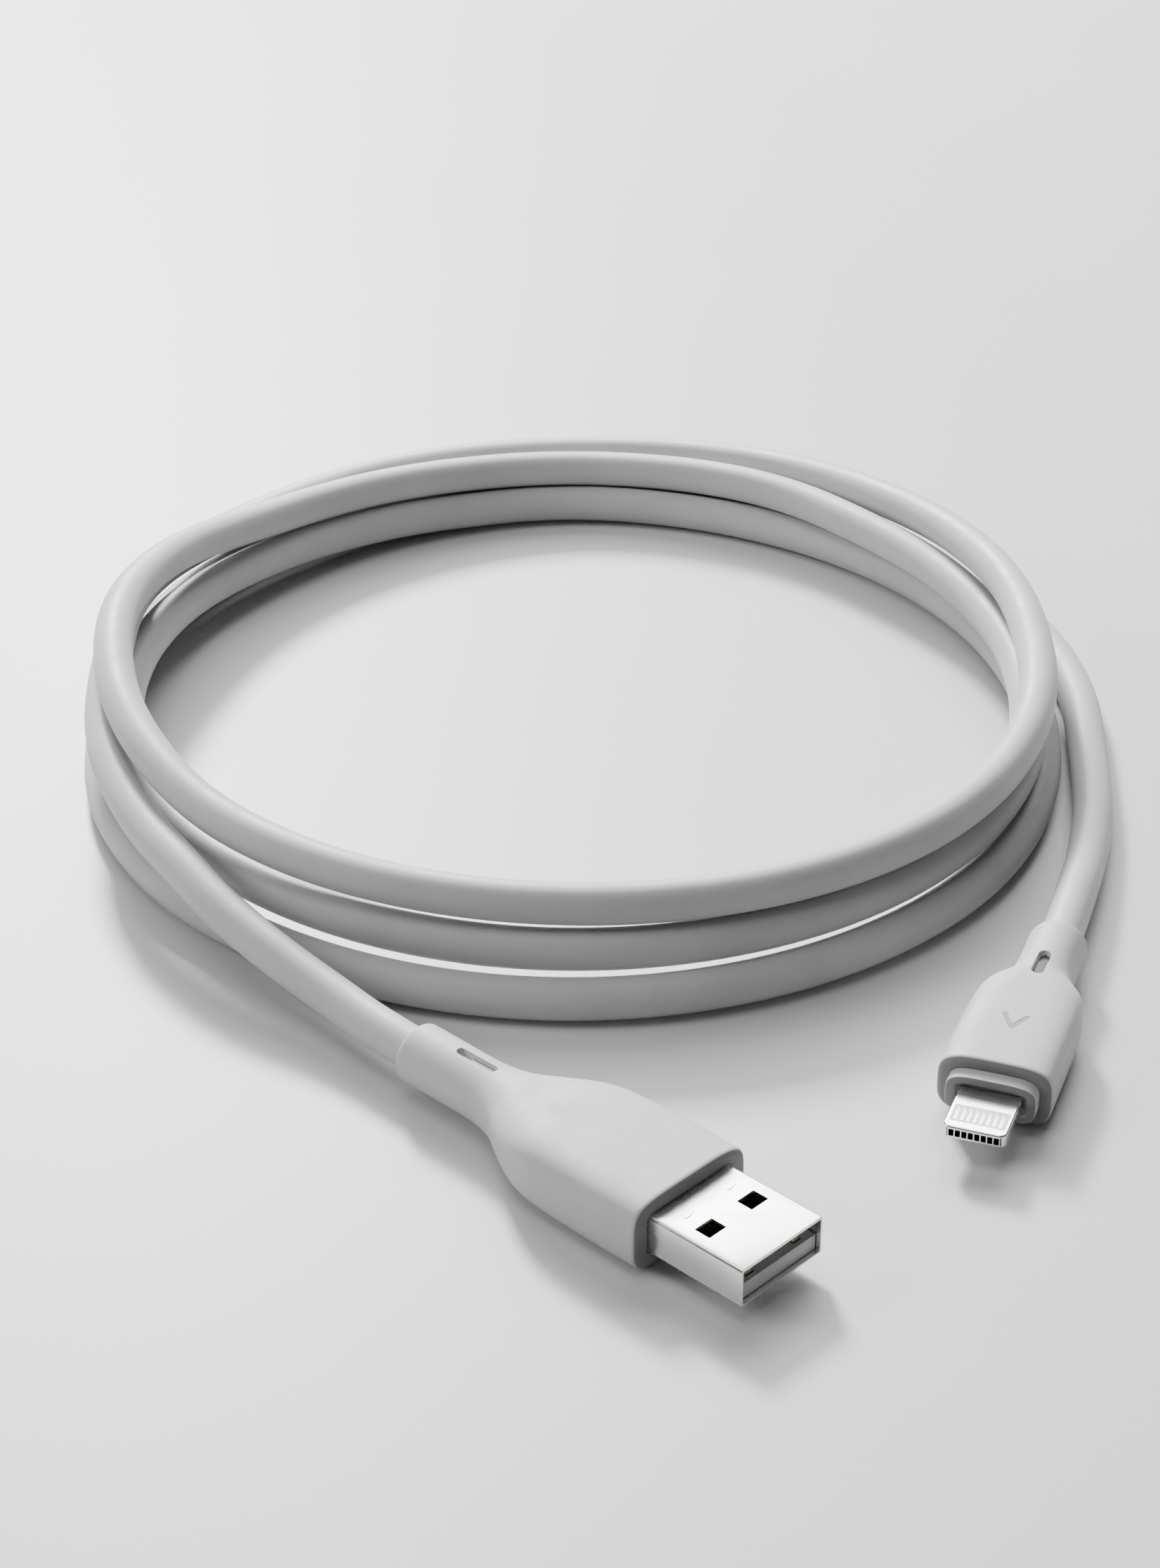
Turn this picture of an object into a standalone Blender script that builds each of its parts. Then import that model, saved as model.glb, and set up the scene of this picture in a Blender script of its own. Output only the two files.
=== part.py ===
"""A coiled charging cable with a type-A plug and a small reversible 8-contact phone plug.

Sizes below are in millimetres and the model is in metres, +Z up, resting on z = 0. The layout is given
from the coil's centre, and COIL_CENTRE puts the origin under the middle of the two connectors.
Each connector is built about its own frame: +X out of the tip, +Y to its left, +Z up, with the
origin on its centre line in the plane of the moulded grip's front rim.
"""

import math

import bmesh
import bpy
from mathutils import Matrix, Vector

MM = 0.001
GAP = 0.3  # between pieces that touch on the real object
FINE_GAP = 0.05  # between a contact strip and its groove

# Layout
COIL_CENTRE = (-18.8, 82.6)
TYPE_A_RIM = (11.3, -100.9, 4.2)
TYPE_A_HEADING = -43.8
PHONE_RIM = (43.4, -80.4, 3.7)
PHONE_HEADING = -110.0

# Cable
CABLE_DIAMETER = 4.8
TAIL_POINT_SPACING = 6.0
# The route runs from the phone plug round the coil to the type-A plug, and ends at each grip's collar.
PHONE_SIDE_POINTS = (
    (57.5, -39.2, 3.2),
    (59.7, -30.6, 2.6),
    (61.5, -20.7, 2.45),
)
# Angle in degrees, anticlockwise from +X, then distance from the coil's centre and height.
COIL_STATIONS = (
    (-2, 62.9, 2.45),
    (18, 63.9, 2.4),
    (45, 64.6, 2.4),
    (90, 67.0, 2.4),
    (135, 63.4, 2.4),
    (180, 58.5, 2.4),
    (202, 59.5, 2.4),
    (225, 60.6, 2.4),
    (270, 61.3, 2.4),
    (315, 59.6, 2.4),
    (360, 57.3, 2.4),
    (405, 59.3, 2.45),
    (450, 62.1, 2.45),
    (465, 61.1, 2.75),
    (495, 58.2, 4.6),
    (517, 56.7, 6.2),
    (540, 55.9, 6.8),
    (562, 56.0, 6.7),
    (585, 56.7, 6.5),
    (630, 57.9, 6.65),
    (675, 57.0, 6.8),
    (720, 55.6, 7.1),
    (765, 58.2, 7.3),
    (787, 62.6, 7.1),
    (810, 64.5, 6.65),
    (832, 62.6, 7.6),
    (855, 59.4, 9.7),
    (877, 57.3, 13.8),
    (900, 56.5, 16.4),
    (922, 56.8, 15.2),
    (945, 57.0, 12.8),
    (990, 56.2, 11.45),
    (1035, 57.1, 11.7),
    (1080, 56.4, 12.1),
    (1102, 58.4, 12.1),
    (1125, 62.4, 10.4),
    (1147, 67.4, 8.1),
    (1170, 69.4, 6.65),
    (1192, 67.8, 6.9),
    (1215, 64.5, 7.3),
    (1237, 60.9, 9.65),
    (1260, 57.3, 11.6),
    (1285, 59.9, 10.5),
    (1305, 62.8, 8.8),
)
TYPE_A_SIDE_POINTS = (
    (-39.9, -50.5, 7.6),
    (-34.9, -56.0, 6.4),
    (-30.5, -60.2, 5.4),
    (-26.1, -64.5, 4.7),
    (-21.7, -69.1, 4.3),
)
STATION_STEP = 7.5  # degrees between the points read from the coil's stations
PHONE_TAIL_ENDS_AT = 19.0  # degrees round the coil, where the tail reaches the wound part
# The wound part's outer shape is an oval ring, a little longer away from the plugs.
RING_CENTRE_OFFSET = 2.5
RING_STRETCH = 1.09
RING_PROFILE = (
    (54.4, 17.0),
    (56.8, 17.0),
    (57.6, 13.0),
    (60.0, 4.6),
    (59.7, 0.8),
    (58.9, 0.0),
    (54.2, 0.0),
    (53.4, 0.8),
    (53.4, 15.6),
)

# Type-A connector
SHELL_WIDTH, SHELL_HEIGHT, SHELL_WALL = 12.0, 4.5, 0.3
SHELL_BACK, SHELL_FRONT = -6.5, 11.95
SHELL_WINDOW_LENGTH, SHELL_WINDOW_WIDTH = 2.0, 2.5
SHELL_WINDOW_X, SHELL_WINDOW_Y = 5.3, 3.1
TONGUE_WIDTH, TONGUE_TOP, TONGUE_BOTTOM = 11.2, -0.05, -1.9
TONGUE_FRONT, TONGUE_BASE_FRONT, TONGUE_BACK = 11.4, 2.0, -9.0
TONGUE_BASE_TOP = 1.8
TYPE_A_CONTACT_Y = (-3.5, -1.0, 1.0, 3.5)
TYPE_A_CONTACT_WIDTH, TYPE_A_CONTACT_THICKNESS = 1.0, 0.2
TYPE_A_CONTACT_FRONT = (10.6, 9.6, 9.6, 10.6)
TYPE_A_CONTACT_BACK = -11.0
TYPE_A_GRIP_SECTIONS = (
    (-39.0, 3.0, 3.0, 2.0),
    (-38.6, 3.4, 3.4, 2.0),
    (-30.0, 3.4, 3.4, 2.0),
    (-27.0, 3.6, 3.45, 2.1),
    (-24.5, 4.3, 3.6, 2.3),
    (-22.0, 5.7, 3.8, 2.6),
    (-19.5, 7.0, 4.0, 3.0),
    (-17.0, 7.8, 4.15, 3.5),
    (-14.0, 8.1, 4.2, 4.0),
    (-8.0, 8.2, 4.2, 4.5),
    (-0.5, 8.2, 4.2, 4.5),
    (0.0, 7.8, 3.8, 4.5),
)
TYPE_A_NECK_SLOT = (-32.8, -27.2, 1.0)  # back, front and width

# Phone connector
TAB_WIDTH, TAB_THICKNESS, TAB_NOSE = 6.7, 1.5, 8.4
TAB_CORNER_RADIUS = 0.8
TAB_ROOT_STEP, TAB_ROOT_FRONT = 0.1, 1.85  # the tab is this much thinner each side where the collar grips it
TAB_POCKET_BACK, TAB_POCKET_FRONT, TAB_POCKET_WIDTH = 4.3, 7.3, 5.9
PHONE_CONTACTS, PHONE_CONTACT_PITCH = 8, 0.68
PHONE_CONTACT_WIDTH, PHONE_CONTACT_THICKNESS = 0.36, 0.16
NOSE_RECESS_WIDTH, NOSE_RECESS_HEIGHT, NOSE_RECESS_DEPTH = 0.46, 0.7, 0.6
COLLAR_WIDTH, COLLAR_HEIGHT, COLLAR_RADIUS = 9.7, 4.7, 1.9
COLLAR_BACK, COLLAR_FRONT = -1.5, 1.7
COLLAR_RECESS_FLOOR = 1.0
PHONE_GRIP_SECTIONS = (
    (-29.5, 3.0, 3.0, 2.0),
    (-29.1, 3.4, 3.4, 2.0),
    (-23.0, 3.4, 3.45, 2.0),
    (-21.2, 3.55, 3.5, 2.1),
    (-20.0, 3.9, 3.55, 2.2),
    (-19.0, 4.6, 3.6, 2.4),
    (-17.8, 5.3, 3.65, 2.8),
    (-16.0, 5.8, 3.7, 3.2),
    (-13.0, 6.05, 3.7, 3.6),
    (-8.0, 6.15, 3.7, 3.8),
    (-0.5, 6.2, 3.7, 3.8),
    (0.0, 5.8, 3.3, 3.8),
)
PHONE_NECK_SLOT = (-22.8, -18.0, 1.4)

# Inside the grips
TYPE_A_MOUTH_BACK, TYPE_A_CAVITY = -7.0, ((-16.5, -6.5), 6.4, 2.95)  # X, half width, half height
TYPE_A_REAR_SHIELD = ((-16.2, -9.4), 6.2, 2.75, 0.3, 0.1)  # X, half width, half height, wall, half seam
TYPE_A_INNER_MOULD_X = (-16.0, -12.2)
TYPE_A_INNER_MOULD_SIZES = ((11.2, 4.4), (8.6, 2.4))  # outside and inside
TYPE_A_CRIMP, TYPE_A_CABLE_END, TYPE_A_WIRE_FRONT = (-21.5, -17.5), -20.6, -11.3
PHONE_CAVITY = ((-15.1, 1.0), 5.15, 2.65)
PHONE_BOARD_X, PHONE_BOARD_WIDTH, PHONE_BOARD_THICKNESS = (-13.8, -5.4), 8.2, 0.8
PHONE_CHIP_X, PHONE_CHIP_WIDTH, PHONE_CHIP_HEIGHT = (-11.6, -8.6), 2.8, 0.8
CAPACITOR_X, CAPACITOR_Y, CAPACITOR_WIDTH, CAPACITOR_HEIGHT = (-8.0, -7.0), (-2.6, 2.6), 0.6, 0.5
SHIELD_CAN_X, SHIELD_CAN_SIZES = (-14.8, -5.2), ((9.7, 4.7), (9.2, 4.2))
PHONE_CRIMP, PHONE_CABLE_END, PHONE_WIRE_FRONT = (-20.3, -16.3), -17.4, -14.1
PHONE_WIRE_Y = (-2.4, -0.8, 0.8, 2.4)
CABLE_BORE, NECK_SLOT_FLOOR = 2.7, 1.5
CRIMP_BORE, CRIMP_OUTER, CRIMP_INNER = 3.15, 2.95, 2.65
WIRE_RADIUS, WIRE_RING = 0.4, 1.1  # each core's radius, and its distance from the cable's middle

for existing in list(bpy.data.objects):
    bpy.data.objects.remove(existing, do_unlink=True)

parts = bpy.data.collections.new("charging_cable")
cutters = bpy.data.collections.new("cutters")
cutters.hide_render = True
for collection in (parts, cutters):
    bpy.context.scene.collection.children.link(collection)


def material(name, colour, roughness, metallic=0.0):
    made = bpy.data.materials.new(name)
    made.use_nodes = True
    shader = made.node_tree.nodes["Principled BSDF"]
    shader.inputs["Base Color"].default_value = (*colour, 1.0)
    shader.inputs["Roughness"].default_value = roughness
    shader.inputs["Metallic"].default_value = metallic
    return made


CABLE_GREY = material("cable_grey", (0.62, 0.62, 0.62), 0.55)
GRIP_GREY = material("grip_grey", (0.64, 0.64, 0.64), 0.6)
BRIGHT_METAL = material("bright_metal", (0.86, 0.86, 0.85), 0.2, 1.0)
INSULATOR = material("insulator", (0.7, 0.7, 0.69), 0.45)
CONTACT_GOLD = material("contact_gold", (0.8, 0.6, 0.3), 0.28, 1.0)
CONTACT_SILVER = material("contact_silver", (0.72, 0.72, 0.72), 0.3, 1.0)
TINNED_STEEL = material("tinned_steel", (0.6, 0.6, 0.6), 0.35, 1.0)
HARD_WHITE = material("hard_white", (0.8, 0.8, 0.78), 0.5)
BOARD_GREEN = material("board_green", (0.03, 0.18, 0.08), 0.45)
CHIP_BLACK = material("chip_black", (0.02, 0.02, 0.02), 0.4)
CAPACITOR_TAN = material("capacitor_tan", (0.5, 0.36, 0.2), 0.45)
WIRE_COLOURS = {
    "red": material("wire_red", (0.6, 0.03, 0.03), 0.5),
    "white": material("wire_white", (0.8, 0.8, 0.8), 0.5),
    "green": material("wire_green", (0.03, 0.35, 0.08), 0.5),
    "black": material("wire_black", (0.02, 0.02, 0.02), 0.5),
}


# Shapes


def add_object(name, data, surface=None, parent=None, collection=parts):
    made = bpy.data.objects.new(name, data)
    collection.objects.link(made)
    made.parent = parent
    if surface:
        data.materials.append(surface)
    return made


def mesh_from(name, bm, surface, parent, collection=parts, smooth=False):
    bmesh.ops.recalc_face_normals(bm, faces=bm.faces[:])
    mesh = bpy.data.meshes.new(name)
    bm.to_mesh(mesh)
    bm.free()
    if smooth:
        mesh.shade_smooth()
        mesh.set_sharp_from_angle(angle=math.radians(35))
    return add_object(name, mesh, surface, parent, collection)


def block(name, x, y, z, surface=None, parent=None, collection=parts):
    """A box between two coordinates on each axis, with its origin at its middle."""
    bm = bmesh.new()
    bmesh.ops.create_cube(bm, size=1.0)
    size = Vector((x[1] - x[0], y[1] - y[0], z[1] - z[0])) * MM
    bmesh.ops.scale(bm, vec=size, verts=bm.verts[:])
    made = mesh_from(name, bm, surface, parent, collection)
    made.location = Vector((x[0] + x[1], y[0] + y[1], z[0] + z[1])) * MM / 2
    return made


def rod(name, x, radius, parent, collection=parts, surface=None, segments=32):
    """A round bar along the connector's X."""
    bm = bmesh.new()
    length = (x[1] - x[0]) * MM
    bmesh.ops.create_cone(
        bm, cap_ends=True, segments=segments, radius1=radius * MM, radius2=radius * MM, depth=length
    )
    made = mesh_from(name, bm, surface, parent, collection, smooth=True)
    made.rotation_euler = (0.0, math.radians(90), 0.0)
    made.location = ((x[0] + x[1]) * MM / 2, 0.0, 0.0)
    return made


def rounded_rectangle(width, height, radius, steps=5, centre=(0.0, 0.0)):
    points = []
    corners = ((1, 1, 0), (-1, 1, 90), (-1, -1, 180), (1, -1, 270))
    for side, up, start in corners:
        middle_x = centre[0] + side * (width / 2 - radius)
        middle_y = centre[1] + up * (height / 2 - radius)
        for step in range(steps + 1):
            turn = math.radians(start + 90 * step / steps)
            points.append((middle_x + radius * math.cos(turn), middle_y + radius * math.sin(turn)))
    return points


def outline_curve(name, loops, thickness):
    """A flat filled outline, extruded evenly to both sides of its plane. A loop inside another is a hole."""
    curve = bpy.data.curves.new(name, "CURVE")
    curve.dimensions = "2D"
    curve.fill_mode = "BOTH"
    curve.extrude = thickness * MM / 2
    for loop in loops:
        spline = curve.splines.new("POLY")
        spline.points.add(len(loop) - 1)
        for point, (across, up) in zip(spline.points, loop):
            point.co = (across * MM, up * MM, 0.0, 1.0)
        spline.use_cyclic_u = True
    return curve


def mesh_of(made):
    """Replaces a curve object by a welded mesh object of the same shape, name and place."""
    bpy.context.view_layer.update()
    graph = bpy.context.evaluated_depsgraph_get()
    mesh = bpy.data.meshes.new_from_object(made.evaluated_get(graph))
    bm = bmesh.new()
    bm.from_mesh(mesh)
    bmesh.ops.remove_doubles(bm, verts=bm.verts[:], dist=0.001 * MM)
    bmesh.ops.recalc_face_normals(bm, faces=bm.faces[:])
    bm.to_mesh(mesh)
    bm.free()
    name, parent, placed = made.name, made.parent, made.matrix_world.copy()
    surface = made.data.materials[0] if made.data.materials else None
    bpy.data.objects.remove(made, do_unlink=True)
    mesh.materials.clear()
    solid = add_object(name, mesh, surface, parent)
    bpy.context.view_layer.update()
    solid.matrix_world = placed
    return solid


# Turns a flat outline's X, Y and thickness into a connector's Y, Z and X, or its X, Z and Y.
ACROSS = Matrix(((0, 0, 1), (1, 0, 0), (0, 1, 0))).to_euler()
ALONG = Matrix(((1, 0, 0), (0, 0, -1), (0, 1, 0))).to_euler()


def prism_across(name, loops, x, surface, parent):
    """Outline in the connector's YZ plane, extruded between two X coordinates."""
    made = add_object(name, outline_curve(name, loops, x[1] - x[0]), surface, parent)
    made.rotation_euler = ACROSS
    made.location = ((x[0] + x[1]) * MM / 2, 0.0, 0.0)
    return mesh_of(made)


def prism_along(name, loops, width, surface, parent):
    """Outline in the connector's XZ plane, extruded evenly across Y."""
    made = add_object(name, outline_curve(name, loops, width), surface, parent)
    made.rotation_euler = ALONG
    return mesh_of(made)


def plate(name, loops, z, surface, parent):
    """Outline in the connector's XY plane, extruded between two Z coordinates."""
    made = add_object(name, outline_curve(name, loops, z[1] - z[0]), surface, parent)
    made.location = (0.0, 0.0, (z[0] + z[1]) * MM / 2)
    return mesh_of(made)


def cut(target, cutter):
    cutter.hide_render = True
    cutter.display_type = "WIRE"
    modifier = target.modifiers.new(cutter.name, "BOOLEAN")
    modifier.operation = "DIFFERENCE"
    modifier.solver = "EXACT"
    modifier.object = cutter


def tube(name, points, radius, surface, parent=None, resolution=2):
    """A round wire or cable with closed ends through points in millimetres."""
    curve = bpy.data.curves.new(name, "CURVE")
    curve.dimensions = "3D"
    curve.bevel_depth = radius * MM
    curve.bevel_resolution = resolution
    curve.use_fill_caps = True
    spline = curve.splines.new("POLY")
    spline.points.add(len(points) - 1)
    for point, place in zip(spline.points, points):
        point.co = (*(Vector(place) * MM), 1.0)
    return add_object(name, curve, surface, parent)


def loft(name, sections, surface, parent, sides=40):
    """A skin through upright sections: X, half width, half height and the squareness of a superellipse."""
    bm = bmesh.new()
    rings = []
    for x, half_width, half_height, squareness in sections:
        ring = []
        for side in range(sides):
            turn = 2 * math.pi * (side + 0.5) / sides
            across, up = math.cos(turn), math.sin(turn)
            across = math.copysign(abs(across) ** (2 / squareness), across)
            up = math.copysign(abs(up) ** (2 / squareness), up)
            ring.append(bm.verts.new((x * MM, half_width * across * MM, half_height * up * MM)))
        rings.append(ring)
    for first, second in zip(rings, rings[1:]):
        for side in range(sides):
            after = (side + 1) % sides
            bm.faces.new((first[side], second[side], second[after], first[after]))
    bm.faces.new(rings[0])
    bm.faces.new(reversed(rings[-1]))
    return mesh_from(name, bm, surface, parent, smooth=True)


# Cable route


def eased(stations, values, at):
    """A smooth curve through unevenly spaced values, with each station's slope read from its neighbours."""
    slopes = []
    for index in range(len(stations)):
        before, after = max(index - 1, 0), min(index + 1, len(stations) - 1)
        slopes.append((values[after] - values[before]) / (stations[after] - stations[before]))
    index = 0
    while index < len(stations) - 2 and stations[index + 1] <= at:
        index += 1
    span = stations[index + 1] - stations[index]
    part = (at - stations[index]) / span
    square, cube = part * part, part * part * part
    return (
        (2 * cube - 3 * square + 1) * values[index]
        + (cube - 2 * square + part) * span * slopes[index]
        + (3 * square - 2 * cube) * values[index + 1]
        + (cube - square) * span * slopes[index + 1]
    )


def coil_point(turn):
    angles, radii, heights = zip(*COIL_STATIONS)
    radius, height = eased(angles, radii, turn), eased(angles, heights, turn)
    turned = math.radians(turn)
    return (radius * math.cos(turned), radius * math.sin(turned), height)


def coil_points(start, end):
    count = round((end - start) / STATION_STEP)
    return [coil_point(start + (end - start) * step / count) for step in range(count + 1)]


def placed(point):
    return (point[0] + COIL_CENTRE[0], point[1] + COIL_CENTRE[1], point[2])


def respaced(points, spacing):
    """Evenly spaced points on the smooth curve through the given ones."""
    along = [0.0]
    for first, second in zip(points, points[1:]):
        along.append(along[-1] + (Vector(second) - Vector(first)).length)
    count = round(along[-1] / spacing)
    coordinates = list(zip(*points))
    return [
        tuple(eased(along, values, along[-1] * step / count) for values in coordinates)
        for step in range(count + 1)
    ]


def in_connector(rim, heading, x):
    """A layout point on a connector's centre line."""
    turned = math.radians(heading)
    return (rim[0] + x * math.cos(turned), rim[1] + x * math.sin(turned), rim[2])


def phone_side_cable():
    first = COIL_STATIONS[0][0]
    inside = [in_connector(PHONE_RIM, PHONE_HEADING, x) for x in (PHONE_CABLE_END, -23.0, -28.0)]
    points = inside + list(PHONE_SIDE_POINTS) + coil_points(first, PHONE_TAIL_ENDS_AT)
    route = [placed(point) for point in respaced(points, TAIL_POINT_SPACING)]
    return tube("phone_side_cable", route, CABLE_DIAMETER / 2, CABLE_GREY, resolution=4)


def type_a_side_cable():
    inside = [in_connector(TYPE_A_RIM, TYPE_A_HEADING, x) for x in (-36.0, -29.0, TYPE_A_CABLE_END)]
    points = list(TYPE_A_SIDE_POINTS) + inside
    route = [placed(point) for point in respaced(points, TAIL_POINT_SPACING)]
    return tube("type_a_side_cable", route, CABLE_DIAMETER / 2, CABLE_GREY, resolution=4)


def cable_coil():
    """The outer shape of the wound part, turned from one profile and stretched into an oval."""
    mesh = bpy.data.meshes.new("cable_coil")
    bm = bmesh.new()
    corners = [bm.verts.new((radius * MM, 0.0, height * MM)) for radius, height in RING_PROFILE]
    for first, second in zip(corners, corners[1:] + corners[:1]):
        bm.edges.new((first, second))
    bm.to_mesh(mesh)
    bm.free()
    made = add_object("cable_coil", mesh, CABLE_GREY)
    made.location = Vector(placed((0.0, RING_CENTRE_OFFSET, 0.0))) * MM
    made.scale = (1.0, RING_STRETCH, 1.0)
    screw = made.modifiers.new("turned", "SCREW")
    screw.steps = 72
    screw.render_steps = 72
    screw.merge_threshold = 0.0001
    screw.use_merge_vertices = True
    screw.use_smooth_shade = True
    return made


# Connectors


def connector(name, rim, heading):
    frame = bpy.data.objects.new(name, None)
    parts.objects.link(frame)
    frame.location = Vector(placed(rim)) * MM
    frame.rotation_euler = (0.0, 0.0, math.radians(heading))
    bpy.context.view_layer.update()
    return frame


def cutter_block(name, x, y, z, frame):
    return block(name, x, y, z, None, frame, cutters)


def neck_cutters(name, frame, back, crimp, cavity, slot, top):
    """The bore for the cable, the wider seat for its crimp, and the slot in the neck's top."""
    yield rod(f"{name}_bore", (back - 1.0, crimp[1]), CABLE_BORE, frame, cutters)
    yield rod(f"{name}_crimp_seat", (crimp[0] - GAP, cavity + 0.5), CRIMP_BORE, frame, cutters)
    half = slot[2] / 2
    z = (NECK_SLOT_FLOOR, top + 1.0)
    yield cutter_block(f"{name}_neck_slot", slot[:2], (-half, half), z, frame)


def crimp_band(name, x, frame):
    loops = [
        rounded_rectangle(2 * radius, 2 * radius, radius * 0.999, steps=8)
        for radius in (CRIMP_OUTER, CRIMP_INNER)
    ]
    return prism_across(name, loops, x, TINNED_STEEL, frame)


def wires(name, frame, ends, start_x, front_x):
    """The four cores, from the cable's end to the pads or contacts at the given Y."""
    for number, (across, colour) in enumerate(zip(ends, WIRE_COLOURS), start=1):
        turn = math.radians(135 + 90 * (number - 1))
        start = (start_x, WIRE_RING * math.cos(turn), WIRE_RING * math.sin(turn))
        points = []
        for step in range(7):
            part = step / 6
            blend = part * part * (3 - 2 * part)
            x = start_x + (front_x - start_x) * part
            y = start[1] + (across - start[1]) * blend
            z = start[2] * (1 - blend)
            points.append((x, y, z))
        tube(f"{name}_wire_{number}", points, WIRE_RADIUS, WIRE_COLOURS[colour], frame, resolution=1)


def type_a_shell(frame):
    inside_width, inside_height = SHELL_WIDTH - 2 * SHELL_WALL, SHELL_HEIGHT - 2 * SHELL_WALL
    loops = [
        rounded_rectangle(SHELL_WIDTH, SHELL_HEIGHT, 0.5),
        rounded_rectangle(inside_width, inside_height, 0.25),
    ]
    shell = prism_across("type_a_shell", loops, (SHELL_BACK, SHELL_FRONT), BRIGHT_METAL, frame)
    reach = SHELL_HEIGHT
    for side in (-1, 1):
        middle = side * SHELL_WINDOW_Y
        window = cutter_block(
            f"shell_window_{'left' if side > 0 else 'right'}",
            (SHELL_WINDOW_X - SHELL_WINDOW_LENGTH / 2, SHELL_WINDOW_X + SHELL_WINDOW_LENGTH / 2),
            (middle - SHELL_WINDOW_WIDTH / 2, middle + SHELL_WINDOW_WIDTH / 2),
            (-reach, reach),
            frame,
        )
        cut(shell, window)


def type_a_tongue(frame):
    """The insulator: a block in the shell's back and a flat tongue in the mouth's lower half."""
    outline = [
        (TONGUE_BACK, TONGUE_BOTTOM),
        (TONGUE_FRONT, TONGUE_BOTTOM),
        (TONGUE_FRONT, TONGUE_TOP),
        (TONGUE_BASE_FRONT, TONGUE_TOP),
        (TONGUE_BASE_FRONT, TONGUE_BASE_TOP),
        (TONGUE_BACK, TONGUE_BASE_TOP),
    ]
    tongue = prism_along("type_a_tongue", [outline], TONGUE_WIDTH, INSULATOR, frame)
    half = TYPE_A_CONTACT_WIDTH / 2 + 2 * FINE_GAP
    floor = TONGUE_TOP - 0.1
    roof = floor + TYPE_A_CONTACT_THICKNESS + 4 * FINE_GAP
    for number, (middle, front) in enumerate(zip(TYPE_A_CONTACT_Y, TYPE_A_CONTACT_FRONT), start=1):
        x = (TONGUE_BACK - 1.0, front + 4 * FINE_GAP)
        channel = cutter_block(
            f"contact_channel_{number}", x, (middle - half, middle + half), (floor, roof), frame
        )
        cut(tongue, channel)


def type_a_contacts(frame):
    half = TYPE_A_CONTACT_WIDTH / 2
    bottom = TONGUE_TOP - 0.1 + FINE_GAP
    for number, (middle, front) in enumerate(zip(TYPE_A_CONTACT_Y, TYPE_A_CONTACT_FRONT), start=1):
        block(
            f"type_a_contact_{number}",
            (TYPE_A_CONTACT_BACK, front),
            (middle - half, middle + half),
            (bottom, bottom + TYPE_A_CONTACT_THICKNESS),
            CONTACT_GOLD,
            frame,
        )


def type_a_rear_shield(frame):
    """Two folded halves that close the shell's back round the soldered contacts."""
    x, half_width, half_height, wall, seam = TYPE_A_REAR_SHIELD
    for name, up in (("upper", 1), ("lower", -1)):
        outline = [
            (-half_width, up * seam),
            (-half_width, up * half_height),
            (half_width, up * half_height),
            (half_width, up * seam),
            (half_width - wall, up * seam),
            (half_width - wall, up * (half_height - wall)),
            (-half_width + wall, up * (half_height - wall)),
            (-half_width + wall, up * seam),
        ]
        prism_across(f"type_a_rear_shield_{name}", [outline], x, TINNED_STEEL, frame)


def type_a_inner_mould(frame):
    loops = [rounded_rectangle(*size, 0.4) for size in TYPE_A_INNER_MOULD_SIZES]
    prism_across("type_a_inner_mould", loops, TYPE_A_INNER_MOULD_X, HARD_WHITE, frame)


def type_a_grip(frame):
    grip = loft("type_a_overmould", TYPE_A_GRIP_SECTIONS, GRIP_GREY, frame)
    mouth_width, mouth_height = SHELL_WIDTH + 2 * GAP, SHELL_HEIGHT + 2 * GAP
    cut(
        grip,
        cutter_block(
            "type_a_mouth",
            (TYPE_A_MOUTH_BACK, 1.0),
            (-mouth_width / 2, mouth_width / 2),
            (-mouth_height / 2, mouth_height / 2),
            frame,
        ),
    )
    x, wide, high = TYPE_A_CAVITY
    cut(grip, cutter_block("type_a_cavity", x, (-wide, wide), (-high, high), frame))
    back, neck = TYPE_A_GRIP_SECTIONS[0][0], TYPE_A_GRIP_SECTIONS[1][2]
    for cutter in neck_cutters("type_a", frame, back, TYPE_A_CRIMP, x[0], TYPE_A_NECK_SLOT, neck):
        cut(grip, cutter)


def type_a_plug():
    frame = connector("type_a_plug_frame", TYPE_A_RIM, TYPE_A_HEADING)
    type_a_shell(frame)
    type_a_tongue(frame)
    type_a_contacts(frame)
    type_a_rear_shield(frame)
    type_a_inner_mould(frame)
    type_a_grip(frame)
    crimp_band("type_a_cable_crimp", TYPE_A_CRIMP, frame)
    wires("type_a", frame, TYPE_A_CONTACT_Y, TYPE_A_CABLE_END + GAP, TYPE_A_WIRE_FRONT)


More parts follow.
